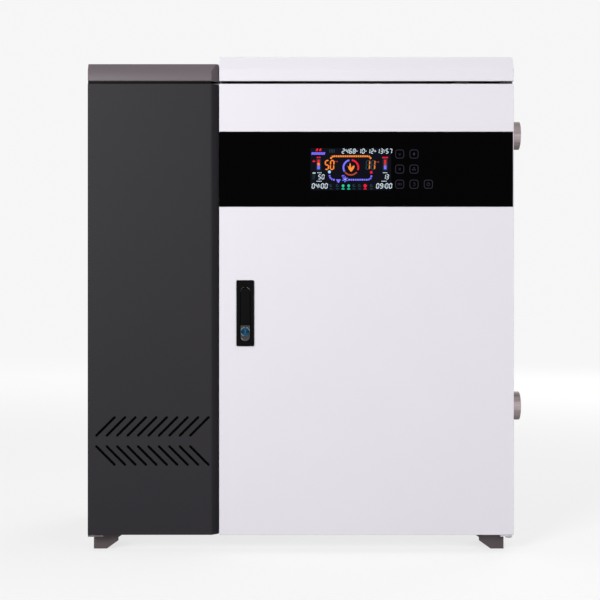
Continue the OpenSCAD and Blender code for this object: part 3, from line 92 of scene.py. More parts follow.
# outlines in X and Z, angles in degrees, each a list of points
def circle(x, z, r, count, a0=0.0, a1=360.0):
    # a full circle, or an arc with both its ends
    steps = count if abs(a1 - a0) >= 360 else count + 1
    return [(x + r * math.cos(math.radians(a0 + (a1 - a0) * i / count)),
             z + r * math.sin(math.radians(a0 + (a1 - a0) * i / count))) for i in range(steps)]


def arcBand(x, z, r0, r1, a0, a1, count=20):
    return circle(x, z, r1, count, a0, a1) + list(reversed(circle(x, z, r0, count, a0, a1)))


def box(x0, z0, x1, z1):
    return [(x0, z0), (x1, z0), (x1, z1), (x0, z1)]


def roundBox(x0, z0, x1, z1, r, count=4):
    corners = ((x1 - r, z1 - r, 0), (x0 + r, z1 - r, 90), (x0 + r, z0 + r, 180), (x1 - r, z0 + r, 270))
    ring = []
    for x, z, start in corners:
        ring += circle(x, z, r, count, start, start + 90)
    return ring


def stroke(x0, z0, x1, z1, w):
    # one straight bar between two points
    d = Vector((x1 - x0, z1 - z0))
    n = Vector((-d.y, d.x)).normalized() * (w / 2)
    return [(x0 + n.x, z0 + n.y), (x0 - n.x, z0 - n.y), (x1 - n.x, z1 - n.y), (x1 + n.x, z1 + n.y)]


def prism(bm, ring, y0, y1):
    # a flat outline in mm, drawn from y0 back to y1
    front = [bm.verts.new((x * mm, y0 * mm, z * mm)) for x, z in ring]
    back = [bm.verts.new((x * mm, y1 * mm, z * mm)) for x, z in ring]
    bm.faces.new(front)
    bm.faces.new(list(reversed(back)))
    for i in range(len(ring)):
        j = (i + 1) % len(ring)
        bm.faces.new((front[j], front[i], back[i], back[j]))


def newObject(name, bm):
    bmesh.ops.recalc_face_normals(bm, faces=bm.faces)
    mesh = bpy.data.meshes.new(name)
    bm.to_mesh(mesh)
    bm.free()
    piece = bpy.data.objects.new(name, mesh)
    scene.collection.objects.link(piece)
    return piece


def flatPiece(name, rings, y0, y1, body, material):
    # one piece of flat outlines, between two depths in mm
    bm = bmesh.new()
    for ring in rings:
        prism(bm, ring, y0, y1)
    piece = newObject(name, bm)
    piece.data.materials.append(material)
    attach(piece, body)


# building blocks of shader node trees
def feed(tree, socket, value):
    # a number or a colour is set on the socket, an output is linked to it
    if isinstance(value, (int, float)):
        socket.default_value = value
    elif isinstance(value, tuple):
        socket.default_value = (*value, 1)
    else:
        tree.links.new(value, socket)


def mathNode(tree, operation, *values, clamp=False):
    node = tree.nodes.new("ShaderNodeMath")
    node.operation = operation
    node.use_clamp = clamp
    for socket, value in zip(node.inputs, values):
        feed(tree, socket, value)
    return node.outputs[0]


def scaleAdd(tree, value, factor, offset, clamp=False):
    return mathNode(tree, "ADD", mathNode(tree, "MULTIPLY", value, factor), offset, clamp=clamp)


def sway(tree, value, amount, clamp=False):
    # how far a pattern is from its middle value of a half, times amount
    return mathNode(tree, "MULTIPLY", mathNode(tree, "SUBTRACT", value, 0.5), amount, clamp=clamp)


def vectorNode(tree, operation, *values):
    node = tree.nodes.new("ShaderNodeVectorMath")
    node.operation = operation
    for socket, value in zip(node.inputs, values):
        tree.links.new(value, socket)
    return node


def brighten(tree, color, factor):
    # the colour times a factor
    node = vectorNode(tree, "SCALE", color)
    tree.links.new(factor, node.inputs["Scale"])
    return node.outputs[0]


def noiseNode(tree, vector, scale, detail, rough=0.55):
    node = tree.nodes.new("ShaderNodeTexNoise")
    node.inputs["Detail"].default_value = detail
    node.inputs["Roughness"].default_value = rough
    feed(tree, node.inputs["Scale"], scale)
    tree.links.new(vector, node.inputs["Vector"])
    return node.outputs["Fac"]


def mixColor(tree, factor, a, b):
    node = tree.nodes.new("ShaderNodeMix")
    node.data_type = "RGBA"
    for label, value in (("Factor", factor), ("A", a), ("B", b)):
        feed(tree, node.inputs[label], value)
    return node.outputs["Result"]


def placeOn(tree, kind="Object"):
    return tree.nodes.new("ShaderNodeTexCoord").outputs[kind]


def axesOf(tree, vector):
    node = tree.nodes.new("ShaderNodeSeparateXYZ")
    tree.links.new(vector, node.inputs[0])
    return node.outputs


socketKinds = {"Color": "NodeSocketColor", "Line Scale": "NodeSocketVector"}  # all others are plain numbers


def makeGroup(name, inputs, outputs):
    group = bpy.data.node_groups.new(name, "ShaderNodeTree")
    for label, value in inputs.items():
        kind = socketKinds.get(label, "NodeSocketFloat")
        group.interface.new_socket(name=label, in_out="INPUT", socket_type=kind).default_value = value
    for label in outputs:
        kind = socketKinds.get(label, "NodeSocketFloat")
        group.interface.new_socket(name=label, in_out="OUTPUT", socket_type=kind)
    return group, group.nodes.new("NodeGroupInput").outputs, group.nodes.new("NodeGroupOutput").inputs


toneGain = 4.0  # a noise keeps near its middle, so its swing is widened

# cloudy tone and fine grain of a painted or moulded surface
grainSet = {"cloudDetail": 4, "cloudShare": 0.7, "grainDetail": 2, "grainShare": 0.3}
surfaceGroup, given, made = makeGroup(
    "surfaceGrain", {"Color": (0.5, 0.5, 0.5, 1), "Tone": 0.06, "Cloud Scale": 9.0, "Grain Scale": 1500.0,
                     "Roughness": 0.5, "Spread": 0.08}, ("Color", "Roughness", "Height"))
tree = surfaceGroup
coords = placeOn(tree)
cloud = noiseNode(tree, coords, given["Cloud Scale"], grainSet["cloudDetail"])
grain = noiseNode(tree, coords, given["Grain Scale"], grainSet["grainDetail"])
both = mathNode(tree, "ADD", mathNode(tree, "MULTIPLY", cloud, grainSet["cloudShare"]),
                mathNode(tree, "MULTIPLY", grain, grainSet["grainShare"]))
lift = scaleAdd(tree, sway(tree, both, given["Tone"]), toneGain, 1.0)
tree.links.new(brighten(tree, given["Color"], lift), made["Color"])
cloudRough = sway(tree, cloud, given["Spread"])
tree.links.new(mathNode(tree, "ADD", cloudRough, given["Roughness"]), made["Roughness"])
tree.links.new(grain, made["Height"])

# drawn or brushed lines along one axis of a metal
lineSet = {"detail": 4, "rough": 0.65, "roughLift": 0.2}
brushGroup, given, made = makeGroup(
    "brushLines", {"Color": (0.5, 0.5, 0.5, 1), "Line Scale": (60, 1500, 1500), "Tone": 0.2,
                   "Roughness": 0.35}, ("Color", "Roughness", "Height"))
tree = brushGroup
stretched = vectorNode(tree, "MULTIPLY", placeOn(tree), given["Line Scale"]).outputs[0]
lines = noiseNode(tree, stretched, 1.0, lineSet["detail"], lineSet["rough"])
lift = scaleAdd(tree, sway(tree, lines, given["Tone"]), toneGain, 1.0)
tree.links.new(brighten(tree, given["Color"], lift), made["Color"])
tree.links.new(scaleAdd(tree, lines, lineSet["roughLift"], given["Roughness"]), made["Roughness"])
tree.links.new(lines, made["Height"])

# crystals of hot-dip zinc
crystalSet = {"rough": 0.3, "roughLift": 0.25}
spangleGroup, given, made = makeGroup(
    "zincSpangle", {"Color": (0.6, 0.6, 0.62, 1), "Scale": 90.0, "Contrast": 0.25}, ("Color", "Roughness"))
tree = spangleGroup
crystals = tree.nodes.new("ShaderNodeTexVoronoi")
tree.links.new(placeOn(tree), crystals.inputs["Vector"])
tree.links.new(given["Scale"], crystals.inputs["Scale"])
crystalTone = tree.nodes.new("ShaderNodeSeparateColor")
tree.links.new(crystals.outputs["Color"], crystalTone.inputs[0])
lift = mathNode(tree, "ADD", sway(tree, crystalTone.outputs[0], given["Contrast"]), 1.0)
tree.links.new(brighten(tree, given["Color"], lift), made["Color"])
crystalRough = scaleAdd(tree, crystalTone.outputs[1], crystalSet["roughLift"], crystalSet["rough"])
tree.links.new(crystalRough, made["Roughness"])

# dust that settles on upward faces; on the column's cap it is raised to paint the upward slope lighter, as
# painted light from above
dustAndTopLightSet = {"color": (0.62, 0.6, 0.56), "patches": 28.0, "detail": 5, "steepness": 2.0, "roughLift": 0.4}
dustAndTopLightGroup, given, made = makeGroup(
    "settledDustAndTopLight", {"Color": (0.5, 0.5, 0.5, 1), "Roughness": 0.5, "Amount": 0.2}, ("Color", "Roughness"))
tree = dustAndTopLightGroup
facing = axesOf(tree, tree.nodes.new("ShaderNodeNewGeometry").outputs["Normal"])
patches = noiseNode(tree, placeOn(tree), dustAndTopLightSet["patches"], dustAndTopLightSet["detail"])
upward = sway(tree, facing["Z"], dustAndTopLightSet["steepness"], clamp=True)
mask = mathNode(tree, "MULTIPLY", mathNode(tree, "MULTIPLY", upward, patches), given["Amount"], clamp=True)
tree.links.new(mixColor(tree, mask, given["Color"], dustAndTopLightSet["color"]), made["Color"])
tree.links.new(scaleAdd(tree, mask, dustAndTopLightSet["roughLift"], given["Roughness"], clamp=True), made["Roughness"])
print("node groups ready")


# kinds of finish
def groupNode(tree, group, values):
    node = tree.nodes.new("ShaderNodeGroup")
    node.node_tree = group
    for label, value in values.items():
        node.inputs[label].default_value = value
    return node


def newMaterial(name, settings):
    material = bpy.data.materials.new(name)
    material.use_nodes = True
    tree = material.node_tree
    shader = tree.nodes["Principled BSDF"].inputs
    for label, value in settings.items():
        shader[label].default_value = value
    return material, tree, shader


def bump(tree, shader, height, strength, distance):
    node = tree.nodes.new("ShaderNodeBump")
    node.inputs["Strength"].default_value = strength
    node.inputs["Distance"].default_value = distance
    tree.links.new(height, node.inputs["Height"])
    tree.links.new(node.outputs["Normal"], shader["Normal"])


def coated(name, color, rough=0.45, tone=0.02, cloud=9.0, grainScale=1500.0, depth=0.00006, dustAndTopLight=0.1,
           specular=0.5, metallic=0.0):
    # paint, plastic or rubber: grain, cloudy tone and a little dust on upward faces, raised on the cap as
    # painted light
    material, tree, shader = newMaterial(name, {"Specular IOR Level": specular, "Metallic": metallic})
    surface = groupNode(tree, surfaceGroup, {"Color": (*color, 1), "Tone": tone, "Cloud Scale": cloud,
                                             "Grain Scale": grainScale, "Roughness": rough})
    dustAndTopLightNode = groupNode(tree, dustAndTopLightGroup, {"Amount": dustAndTopLight})
    for label, socket in (("Color", "Base Color"), ("Roughness", "Roughness")):
        tree.links.new(surface.outputs[label], dustAndTopLightNode.inputs[label])
        tree.links.new(dustAndTopLightNode.outputs[label], shader[socket])
    bump(tree, shader, surface.outputs["Height"], strength=0.5, distance=depth)
    return material


def drawnMetal(name, color, lineScale, rough=0.3, tone=0.08):
    # steel, brass or aluminium with drawn lines, which run along the axes of the smallest scale
    material, tree, shader = newMaterial(name, {"Metallic": 1.0})
    lined = groupNode(tree, brushGroup, {"Color": (*color, 1), "Line Scale": lineScale, "Tone": tone,
                                         "Roughness": rough})
    tree.links.new(lined.outputs["Color"], shader["Base Color"])
    tree.links.new(lined.outputs["Roughness"], shader["Roughness"])
    bump(tree, shader, lined.outputs["Height"], strength=0.4, distance=0.00003)
    return material


def zincMetal(name, color, scale, contrast):
    # zinc-coated steel with its crystals
    material, tree, shader = newMaterial(name, {"Metallic": 1.0})
    spangle = groupNode(tree, spangleGroup, {"Color": (*color, 1), "Scale": scale, "Contrast": contrast})
    tree.links.new(spangle.outputs["Color"], shader["Base Color"])
    tree.links.new(spangle.outputs["Roughness"], shader["Roughness"])
    return material


def overlay(material, mask, color):
    # a second colour over the one that feeds the material, as far as the mask lets it
    tree = material.node_tree
    base = tree.nodes["Principled BSDF"].inputs["Base Color"]
    tree.links.new(mixColor(tree, mask, base.links[0].from_socket, color), base)


# paints
paintSet = {"pale": (0.775, 0.745, 0.802), "dark": (0.0213, 0.0197, 0.0234), "cap": (0.116, 0.094, 0.107)}
palePaint = coated("palePaint", paintSet["pale"], rough=0.42, tone=0.008, depth=0.00004, specular=0.35)
darkPaint = coated("darkPaint", paintSet["dark"], rough=0.5, tone=0.05, depth=0.00008, specular=0.12)
# the cap's raised dust amount paints its upward slope lighter, standing in for light from above
capPaint = coated("capPaint", paintSet["cap"], tone=0.03, dustAndTopLight=0.35, specular=0.3)
motorPaint = coated("motorPaint", (0.06, 0.065, 0.07), tone=0.05, cloud=40, grainScale=700, depth=0.0002)
pumpIron = coated("pumpIron", (0.24, 0.032, 0.022), rough=0.55, tone=0.06, cloud=50, grainScale=420,
                  depth=0.0004)

# metals
galvanised = zincMetal("galvanisedSheet", (0.56, 0.57, 0.59), scale=95.0, contrast=0.3)
zincFastener = zincMetal("zincFastener", (0.68, 0.67, 0.62), scale=900.0, contrast=0.12)
lipHighlightMetal = zincMetal("lipHighlightMetal", (0.115, 0.108, 0.11), scale=500.0, contrast=0.3)
footSteel = coated("footSteel", (0.073, 0.056, 0.059), rough=0.5, tone=0.1, cloud=60, metallic=0.4)
blackSteel = coated("blackSteel", (0.02, 0.02, 0.021), rough=0.4, tone=0.1, cloud=90, metallic=0.5)
vesselSteel = drawnMetal("vesselSteel", (0.55, 0.53, 0.50), (14, 14, 1600))
elementSteel = drawnMetal("elementSteel", (0.42, 0.38, 0.34), (30, 30, 900), rough=0.35)
brass = drawnMetal("turnedBrass", (0.62, 0.43, 0.17), (400, 400, 400), rough=0.28, tone=0.05)
gaugeSteel = drawnMetal("gaugeSteel", (0.72, 0.71, 0.7), (200, 1200, 200), rough=0.2, tone=0.04)
aluminium = drawnMetal("aluminium", (0.72, 0.73, 0.75), (1200, 60, 40), rough=0.32)

# pipe steel: painted shade, darker towards its top and underside, and drawn lines strong enough to paint
# reflection bands round the pipe
pipeSet = {"steel": (0.355, 0.30, 0.305), "paintedShade": (0.06, 0.042, 0.036), "shadeEdge": 2.5, "shadeMost": 0.9}
pipeSteel = drawnMetal("pipeSteel", pipeSet["steel"], (12, 170, 170), rough=0.36, tone=0.55)
tree = pipeSteel.node_tree
facing = axesOf(tree, tree.nodes.new("ShaderNodeNewGeometry").outputs["Normal"])
paintedShade = mathNode(tree, "POWER", mathNode(tree, "ABSOLUTE", facing["Z"]), pipeSet["shadeEdge"])
overlay(pipeSteel, mathNode(tree, "MULTIPLY", paintedShade, pipeSet["shadeMost"], clamp=True), pipeSet["paintedShade"])

# plastics, rubber, foam and board
redPlastic = coated("redPlastic", (0.55, 0.03, 0.02), rough=0.35, tone=0.03, cloud=80)
pointerBlack = coated("pointerBlack", (0.015, 0.015, 0.016), rough=0.4, tone=0.05, cloud=200)
greyPlastic = coated("greyPlastic", (0.6, 0.6, 0.58), tone=0.015, cloud=60)
blackPlastic = coated("blackPlastic", (0.022, 0.022, 0.024), rough=0.42, tone=0.06, cloud=70)
modulePlastic = coated("modulePlastic", (0.62, 0.6, 0.52), rough=0.5, tone=0.03, cloud=60)
cableBlack = coated("cableBlack", (0.02, 0.019, 0.018), rough=0.5, tone=0.08, cloud=120)
rubber = coated("blackRubber", (0.018, 0.018, 0.019), rough=0.75, tone=0.08, cloud=40, grainScale=2500)
filterFoam = coated("filterFoam", (0.0015, 0.0015, 0.0016), rough=0.95, tone=0.2, cloud=500, grainScale=700,
                    depth=0.0012, specular=0.0)
jacketFoam = coated("jacketFoam", (0.022, 0.023, 0.025), rough=0.85, tone=0.1, cloud=25, grainScale=600,
                    depth=0.0005)
boardGreen = coated("boardGreen", (0.012, 0.09, 0.045), rough=0.4, tone=0.12, cloud=220, depth=0.0001)

# control glass and display film
glassBlack = coated("controlGlass", (0.0006, 0.0006, 0.0007), rough=0.05, tone=0.1, cloud=30, depth=0.0,
                    dustAndTopLight=0.02, specular=0.015)
displayFilm = coated("displayFilm", (0.0015, 0.0018, 0.006), rough=0.25, tone=0.2, cloud=300, specular=0.05)

# lock: black body, grey button, and bright metals that paint highlights on its small rims; glint is also the
# spring leaf in the keyway
lockBlack = coated("lockBlack", (0.0035, 0.0034, 0.0034), rough=0.35, tone=0.08, cloud=160, depth=0.00004,
                   dustAndTopLight=0.02, specular=0.03)
glint = drawnMetal("glint", (0.15, 0.15, 0.16), (300, 300, 300), tone=0.1)
dimGlint = drawnMetal("dimGlint", (0.055, 0.055, 0.06), (300, 300, 300), rough=0.35, tone=0.2)
rimHighlightMetal = drawnMetal("rimHighlightMetal", (0.26, 0.31, 0.35), (300, 300, 300), rough=0.2, tone=0.2)
buttonGrey = coated("buttonGrey", (0.019, 0.018, 0.021), rough=0.35, tone=0.08, cloud=200, metallic=0.3)

# key barrel: a painted sheen on its turned face, lighter in two sectors, above and below the keyway
barrelSet = {"blue": (0.0016, 0.022, 0.05), "lit": (0.009, 0.058, 0.11), "sectorEdge": 1.6}
barrelBlue = drawnMetal("barrelBlue", barrelSet["blue"], (500, 90, 500), tone=0.12)
tree = barrelBlue.node_tree
face = axesOf(tree, placeOn(tree, "Generated"))
faceAngle = mathNode(tree, "ARCTAN2", mathNode(tree, "SUBTRACT", face["Z"], 0.5),
                     mathNode(tree, "SUBTRACT", face["X"], 0.5))
sheenSector = mathNode(tree, "ABSOLUTE", mathNode(tree, "SINE", faceAngle))
overlay(barrelBlue, mathNode(tree, "POWER", sheenSector, barrelSet["sectorEdge"], clamp=True), barrelSet["lit"])

slotMaterials = {
    "dark_paint": darkPaint, "pale_paint": palePaint, "foot_steel": footSteel, "galvanised": galvanised,
    "zinc_fastener": zincFastener, "black_steel": blackSteel, "black_rubber": rubber,
    "filter_foam": filterFoam, "vessel_steel": vesselSteel, "jacket_foam": jacketFoam,
    "element_steel": elementSteel, "pipe_steel": pipeSteel, "pump_iron": pumpIron,
    "motor_paint": motorPaint, "brass": brass, "red_plastic": redPlastic, "gauge_steel": gaugeSteel,
    "pointer_black": pointerBlack, "grey_plastic": greyPlastic, "black_plastic": blackPlastic,
    "aluminium": aluminium, "module_plastic": modulePlastic, "cable_black": cableBlack,
    "control_glass": glassBlack, "display": displayFilm, "board": boardGreen, "lock_black": lockBlack,
    "button_grey": buttonGrey, "barrel_blue": barrelBlue,
}
slotOf = {part["node"]: part["material_slot"] for part in frame["record"]["subparts"]}
for name, node in cadNodes.items():
    material = slotMaterials[slotOf[name]]
    if not node.material_slots:
        node.data.materials.append(material)
    for slot in node.material_slots:
        slot.material = material
cadNodes["column_top_cap"].material_slots[0].material = capPaint
cadNodes["hinge_pins"].material_slots[0].material = blackSteel
print("materials on", len(cadNodes), "nodes")

# rounded bends and edges, in mm: along the node's box, on its other edges, and on folds as tall as it is
softSet = {
    "column_front_cover": (0.5, 0.15, 2.2), "door_shell": (0.6, 0.2), "column_top_cap": (1.4, 0.2),
    "main_top_cap": (1.2, 0.2), "left_side_panel": (1.0, 0.15), "right_side_panel": (1.0, 0.15),
    "back_panel": (0.4, 0.15), "feet": (0, 0.3), "control_glass": (0.5, 0.3), "outlet_pipe": (0, 0.6),
    "inlet_pipes": (0, 0.8), "pipe_grommets": (0, 0.7), "lock_frame": (0.2, 0.15), "lock_lever": (0, 0.5),
    "lock_button": (0, 0.4), "key_barrel": (0, 0.2), "cable_gland": (0, 0.35), "panel_screws": (0, 0.18),
    "heating_vessel": (0, 0.8), "vessel_foot": (0, 0.8), "heater_lid": (0, 0.6), "vessel_jacket": (0, 3.0),
    "pump_volute": (0, 0.9), "pump_motor": (0, 0.8), "safety_valve": (0, 0.25), "safety_valve_cap": (0, 0.3),
    "air_vent": (0, 0.3), "pressure_gauge": (0, 0.3), "drain_valve": (0, 0.3), "drain_lever": (0, 0.25),
    "circuit_breaker": (0, 0.35), "contactor": (0, 0.5), "terminal_block": (0, 0.4),
    "power_module": (0, 0.35), "fan_frame": (0, 0.4), "control_box": (0, 0.4), "latch_cam": (0, 0.2),
    "door_seal": (0, 0.8), "hinge_brackets": (0, 0.3),
}
# how an edge is told apart: lengths in metres, angles in degrees
edgeSet = {"merge": 0.00001, "onBox": 0.00002, "flatAngle": 0.6, "sharpAngle": 32, "foldAngle": 50,
           "foldShare": 0.9, "segments": 3}


def edgeRadius(e, low, high, radius, edge, bend):
    ends = [v.co for v in e.verts]
    touched = 0
    for side in (low, high):
        for axis in range(3):
            touched += all(abs(co[axis] - side[axis]) < edgeSet["onBox"] for co in ends)
    isGentle = e.calc_face_angle(0) < math.radians(edgeSet["foldAngle"])
    isTall = e.calc_length() > edgeSet["foldShare"] * (high - low).z
    if bend and touched < 2 and isGentle and isTall:
        return bend
    return radius if radius and touched >= 2 else edge


def softCopy(node, material, radius, edge, bend=0.0):
    # the node's own shape with its edges rounded, which stands for it
    mesh = cadNodes[node].data.copy()
    mesh.name = node + "Soft"
    if "custom_normal" in mesh.attributes:
        mesh.attributes.remove(mesh.attributes["custom_normal"])
    bm = bmesh.new()
    bm.from_mesh(mesh)
    bmesh.ops.remove_doubles(bm, verts=bm.verts, dist=edgeSet["merge"])
    flatLimit = math.radians(edgeSet["flatAngle"])
    bmesh.ops.dissolve_limit(bm, angle_limit=flatLimit, verts=bm.verts, edges=bm.edges)
    bmesh.ops.connect_verts_concave(bm, faces=bm.faces)
    layers = bm.edges.layers.float
    weights = layers.get("bevel_weight_edge") or layers.new("bevel_weight_edge")
    low, high = [Vector(corner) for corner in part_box(node)]
    widest = max(radius, edge, bend)
    for e in bm.edges:
        if len(e.link_faces) == 2 and e.calc_face_angle(0) >= math.radians(edgeSet["sharpAngle"]):
            e[weights] = edgeRadius(e, low, high, radius, edge, bend) / widest
    bm.to_mesh(mesh)
    bm.free()
    mesh.materials.clear()
    piece = bpy.data.objects.new(node + "Soft", mesh)
    scene.collection.objects.link(piece)
    bevel = piece.modifiers.new("softEdge", "BEVEL")
    bevel.width = widest * mm
    bevel.segments = edgeSet["segments"]
    bevel.limit_method = "WEIGHT"
    bevel.use_clamp_overlap = False
    bevel.loop_slide = False
    bevel.face_strength_mode = "FSTR_AFFECTED"
    flat = piece.modifiers.new("flatFaces", "WEIGHTED_NORMAL")
    flat.keep_sharp = False
    flat.use_face_influence = True
    for poly in mesh.polygons:
        poly.use_smooth = True
    piece.data.materials.append(material)
    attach(piece, bodyOf[node])
    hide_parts(node)
    return piece


softPieces = {node: softCopy(node, cadNodes[node].material_slots[0].material, *radii)
              for node, radii in softSet.items()}
# the lower hinge bracket is painted with the door, the upper one stays black in the seam
lowerBracketTop = 0.1
brackets = softPieces["hinge_brackets"].data
brackets.materials.append(palePaint)
for poly in brackets.polygons:
    poly.material_index = 1 if poly.center.z < lowerBracketTop else 0
print("edges rounded on", len(softPieces), "nodes")

# display: lit graphics on the glass, laid out in cells (column, row) from the screen's top left corner
displayLow, displayHigh = boxMm("display_module")
displaySet = {"cell": 1.6, "left": displayLow.x + 2.5, "top": displayHigh.z - 2.5, "width": 80.7,
              "height": 42.2, "corner": 1.0, "film": 0.04, "ink": 0.08}
inkSet = {
    "white": (0.62, 0.74, 0.80), "orange": (1.0, 0.26, 0.035), "red": (0.85, 0.012, 0.035),
    "blue": (0.20, 0.17, 1.0), "cyan": (0.35, 0.62, 1.0), "green": (0.02, 0.62, 0.32),
    "dull": (0.42, 0.06, 0.03), "ghost": (0.012, 0.045, 0.055), "key": (0.028, 0.025, 0.042),
}
glowSet = {"tone": 0.05, "cloud": 260.0, "lit": 1.0, "unlit": 0.96, "rough": 0.4, "specular": 0.04}
inkShapes = {ink: [] for ink in inkSet}


def litInk(name, color):
    # a little uneven, like a back-lit film, and near black where no light comes through
    settings = {"Roughness": glowSet["rough"], "Emission Strength": glowSet["lit"],
                "Specular IOR Level": glowSet["specular"]}
    material, tree, shader = newMaterial(name, settings)
    surface = groupNode(tree, surfaceGroup, {"Color": (*color, 1), "Tone": glowSet["tone"],
                                             "Cloud Scale": glowSet["cloud"]})
    tone = surface.outputs["Color"]
    tree.links.new(tone, shader["Emission Color"])
    tree.links.new(mixColor(tree, glowSet["unlit"], tone, (0.0, 0.0, 0.0)), shader["Base Color"])
    return material


def cells(points):
    s = displaySet
    return [(s["left"] + c * s["cell"], s["top"] - r * s["cell"]) for c, r in points]


def draw(ink, points):
    inkShapes[ink].append(cells(points))


def drawStroke(ink, c0, r0, c1, r1, w):
    draw(ink, stroke(c0, r0, c1, r1, w))


# the seven bars of a digit, as ends on a grid one wide and two high
segmentPlan = {"a": (0, 0, 1, 0), "b": (1, 0, 1, 1), "c": (1, 1, 1, 2), "d": (0, 2, 1, 2), "e": (0, 1, 0, 2),
               "f": (0, 0, 0, 1), "g": (0, 1, 1, 1)}
digitBars = {"0": "abcdef", "1": "bc", "2": "abged", "3": "abgcd", "4": "fgbc", "5": "afgcd", "6": "afgedc",
             "7": "abc", "8": "abcdefg", "9": "abcdfg"}
barInset = 0.62  # gap at each end of a bar, as a share of its width
# other signs, as shares of a figure's height, of the bar's width and of the step to the next figure
signSet = {"colonRows": (0.32, 0.68), "colonDot": 0.6, "pointRow": 0.5, "pointDot": 0.75, "dotIn": 0.1,
           "dotSides": 8, "arrow": ((-0.2, 0.25), (1.5, 0.5), (-0.2, 0.75))}
signSteps = {":": 0.45, ".": 0.5, ">": 0.62}


def digit(ink, figure, c, r, w, h, bar, lean):
    # each bar is a strip with pointed ends, from p to q, and the whole leans to the right
    inset = bar * barInset
    for name in digitBars[figure]:
        x0, y0, x1, y1 = segmentPlan[name]
        across, down = x1 - x0, y1 - y0
        px, py = c + x0 * w + across * inset, r + y0 * h / 2 + down * inset
        qx, qy = c + x1 * w - across * inset, r + y1 * h / 2 - down * inset
        u, v = across * bar / 2, down * bar / 2
        ring = ((px - u, py - v), (px + v, py - u), (qx + v, qy - u), (qx + u, qy + v), (qx - v, qy + u),
                (px - v, py + u))
        draw(ink, [(x + lean * (r + h / 2 - y), y) for x, y in ring])


def number(ink, text, c, r, w, h, bar, step, lean=0.12):
    s = signSet
    for sign in text:
        if sign in digitBars:
            digit(ink, sign, c, r, w, h, bar, lean)
        elif sign == ":":
            for row in s["colonRows"]:
                draw(ink, circle(c + s["dotIn"], r + h * row, bar * s["colonDot"], s["dotSides"]))
        elif sign == ".":
            draw(ink, circle(c + s["dotIn"], r + h * s["pointRow"], bar * s["pointDot"], s["dotSides"]))
        else:
            draw(ink, [(c + u, r + h * v) for u, v in s["arrow"]])
        c += step * signSteps.get(sign, 1)


# small figures: ink, text, column, row, width, height, bar, step
for values in (
        ("white", "2468.10.12>13:57", 31.9, 0.85, 2.2, 4.3, 0.78, 3.62),
        ("white", "04:00", 1.8, 35.5, 2.3, 4.6, 0.85, 3.72),
        ("white", "09:00", 66.2, 35.5, 2.3, 4.6, 0.85, 3.72),
        ("white", "50", 8.2, 26.5, 2.1, 4.4, 0.75, 3.4),
        ("white", "13", 73.0, 26.5, 2.1, 4.4, 0.75, 3.0),
        ("ghost", "8", 2.6, 26.5, 1.6, 4.4, 0.5, 3.0)):
    number(*values)
# rows of four short marks: column, row, width
markSet = {"count": 4, "fill": 0.7, "line": 0.8}
for c, r, w in ((7.0, 24.6, 4.6), (72.6, 24.6, 4.6), (6.2, 33.1, 5.4), (71.2, 33.1, 5.4)):
    step = w / markSet["count"]
    for i in range(markSet["count"]):
        drawStroke("white", c + i * step, r, c + (i + markSet["fill"]) * step, r, markSet["line"])
for c in (2.3, 3.9):
    drawStroke("white", c, 24.9, c + 1.2, 24.9, 1.3)

# marks at the top left: two red flags, a band of slanted blue tiles, and unlit bars beside them
tileSet = {"count": 9, "step": 1.52, "bars": 4, "barStart": 19.3, "barStep": 1.5, "barWidth": 0.7}
for c in (5.2, 8.4):
    draw("red", [(c, 2.9), (c + 1.1, 0.4), (c + 2.7, 0.4), (c + 2.2, 2.9)])
for c in [i * tileSet["step"] for i in range(tileSet["count"])]:
    draw("blue", [(0.9 + c, 6.6), (1.5 + c, 4.1), (2.75 + c, 4.1), (2.15 + c, 6.6)])
for c in [tileSet["barStart"] + i * tileSet["barStep"] for i in range(tileSet["bars"])]:
    drawStroke("ghost", c, 1.2, c, 4.6, tileSet["barWidth"])

# flow line above, return line below, in short links: column and row of both ends
linkSet = {"step": 2.2, "flowRow": 8.1, "flowWidth": 1.75, "returnRow": 31.6, "returnWidth": 1.7}


def straightLinks(c0, c1, row, count):
    return [(c0 + i * linkSet["step"], row, c1 + i * linkSet["step"], row) for i in range(count)]


flow = [(20.3, 10.7, 21.2, 9.0), (21.5, 8.7, 22.8, 8.1)] + straightLinks(23.1, 24.9, linkSet["flowRow"], 16)
flow += [(58.4, 8.1, 59.4, 8.7), (59.7, 9.0, 60.6, 10.7)]
for ends in flow:
    drawStroke("orange", *ends, linkSet["flowWidth"])
back = [(19.2, 26.9, 19.3, 28.4), (19.5, 28.9, 20.4, 30.3), (20.8, 30.8, 22.0, 31.4),
        (22.6, 31.6, 24.4, 31.6)]
back += straightLinks(37.9, 39.6, linkSet["returnRow"], 9)
back += [(57.8, 31.5, 59.2, 31.3), (59.7, 30.9, 60.5, 29.8), (60.8, 29.2, 61.1, 27.2)]
for ends in back:
    drawStroke("blue", *ends, linkSet["returnWidth"])
for i in range(0, 9, 2):  # a light dot on every other link
    draw("cyan", circle(38.8 + i * linkSet["step"], linkSet["returnRow"], 0.5, 8))

# pump and fan marks in the return line, and sensor marks beside it
draw("blue", [(25.6, 31.2), (30.4, 31.2), (28.9, 33.8), (28.6, 34.6), (27.6, 34.6), (27.1, 33.8)])
fanSet = {"column": 34.7, "row": 31.1, "inner": 1.1, "outer": 2.9, "blade": 1.0, "start": 10, "twist": 0.5}


def fanPoint(radius, angle):
    return fanSet["column"] + radius * math.cos(angle), fanSet["row"] + radius * math.sin(angle)


for a in [math.radians(60 * i + fanSet["start"]) for i in range(6)]:
    drawStroke("blue", *fanPoint(fanSet["inner"], a), *fanPoint(fanSet["outer"], a + fanSet["twist"]),
               fanSet["blade"])
draw("cyan", circle(fanSet["column"], fanSet["row"], 0.8, 10))
for c in (31.2, 32.7):
    draw("blue", [(c, 28.4), (c + 0.5, 26.9), (c + 1.5, 26.9), (c + 1.0, 28.4)])
draw("cyan", roundBox(17.6, 22.3, 20.5, 25.2, 1.2))
draw("red", circle(60.9, 24.2, 1.4, 14))

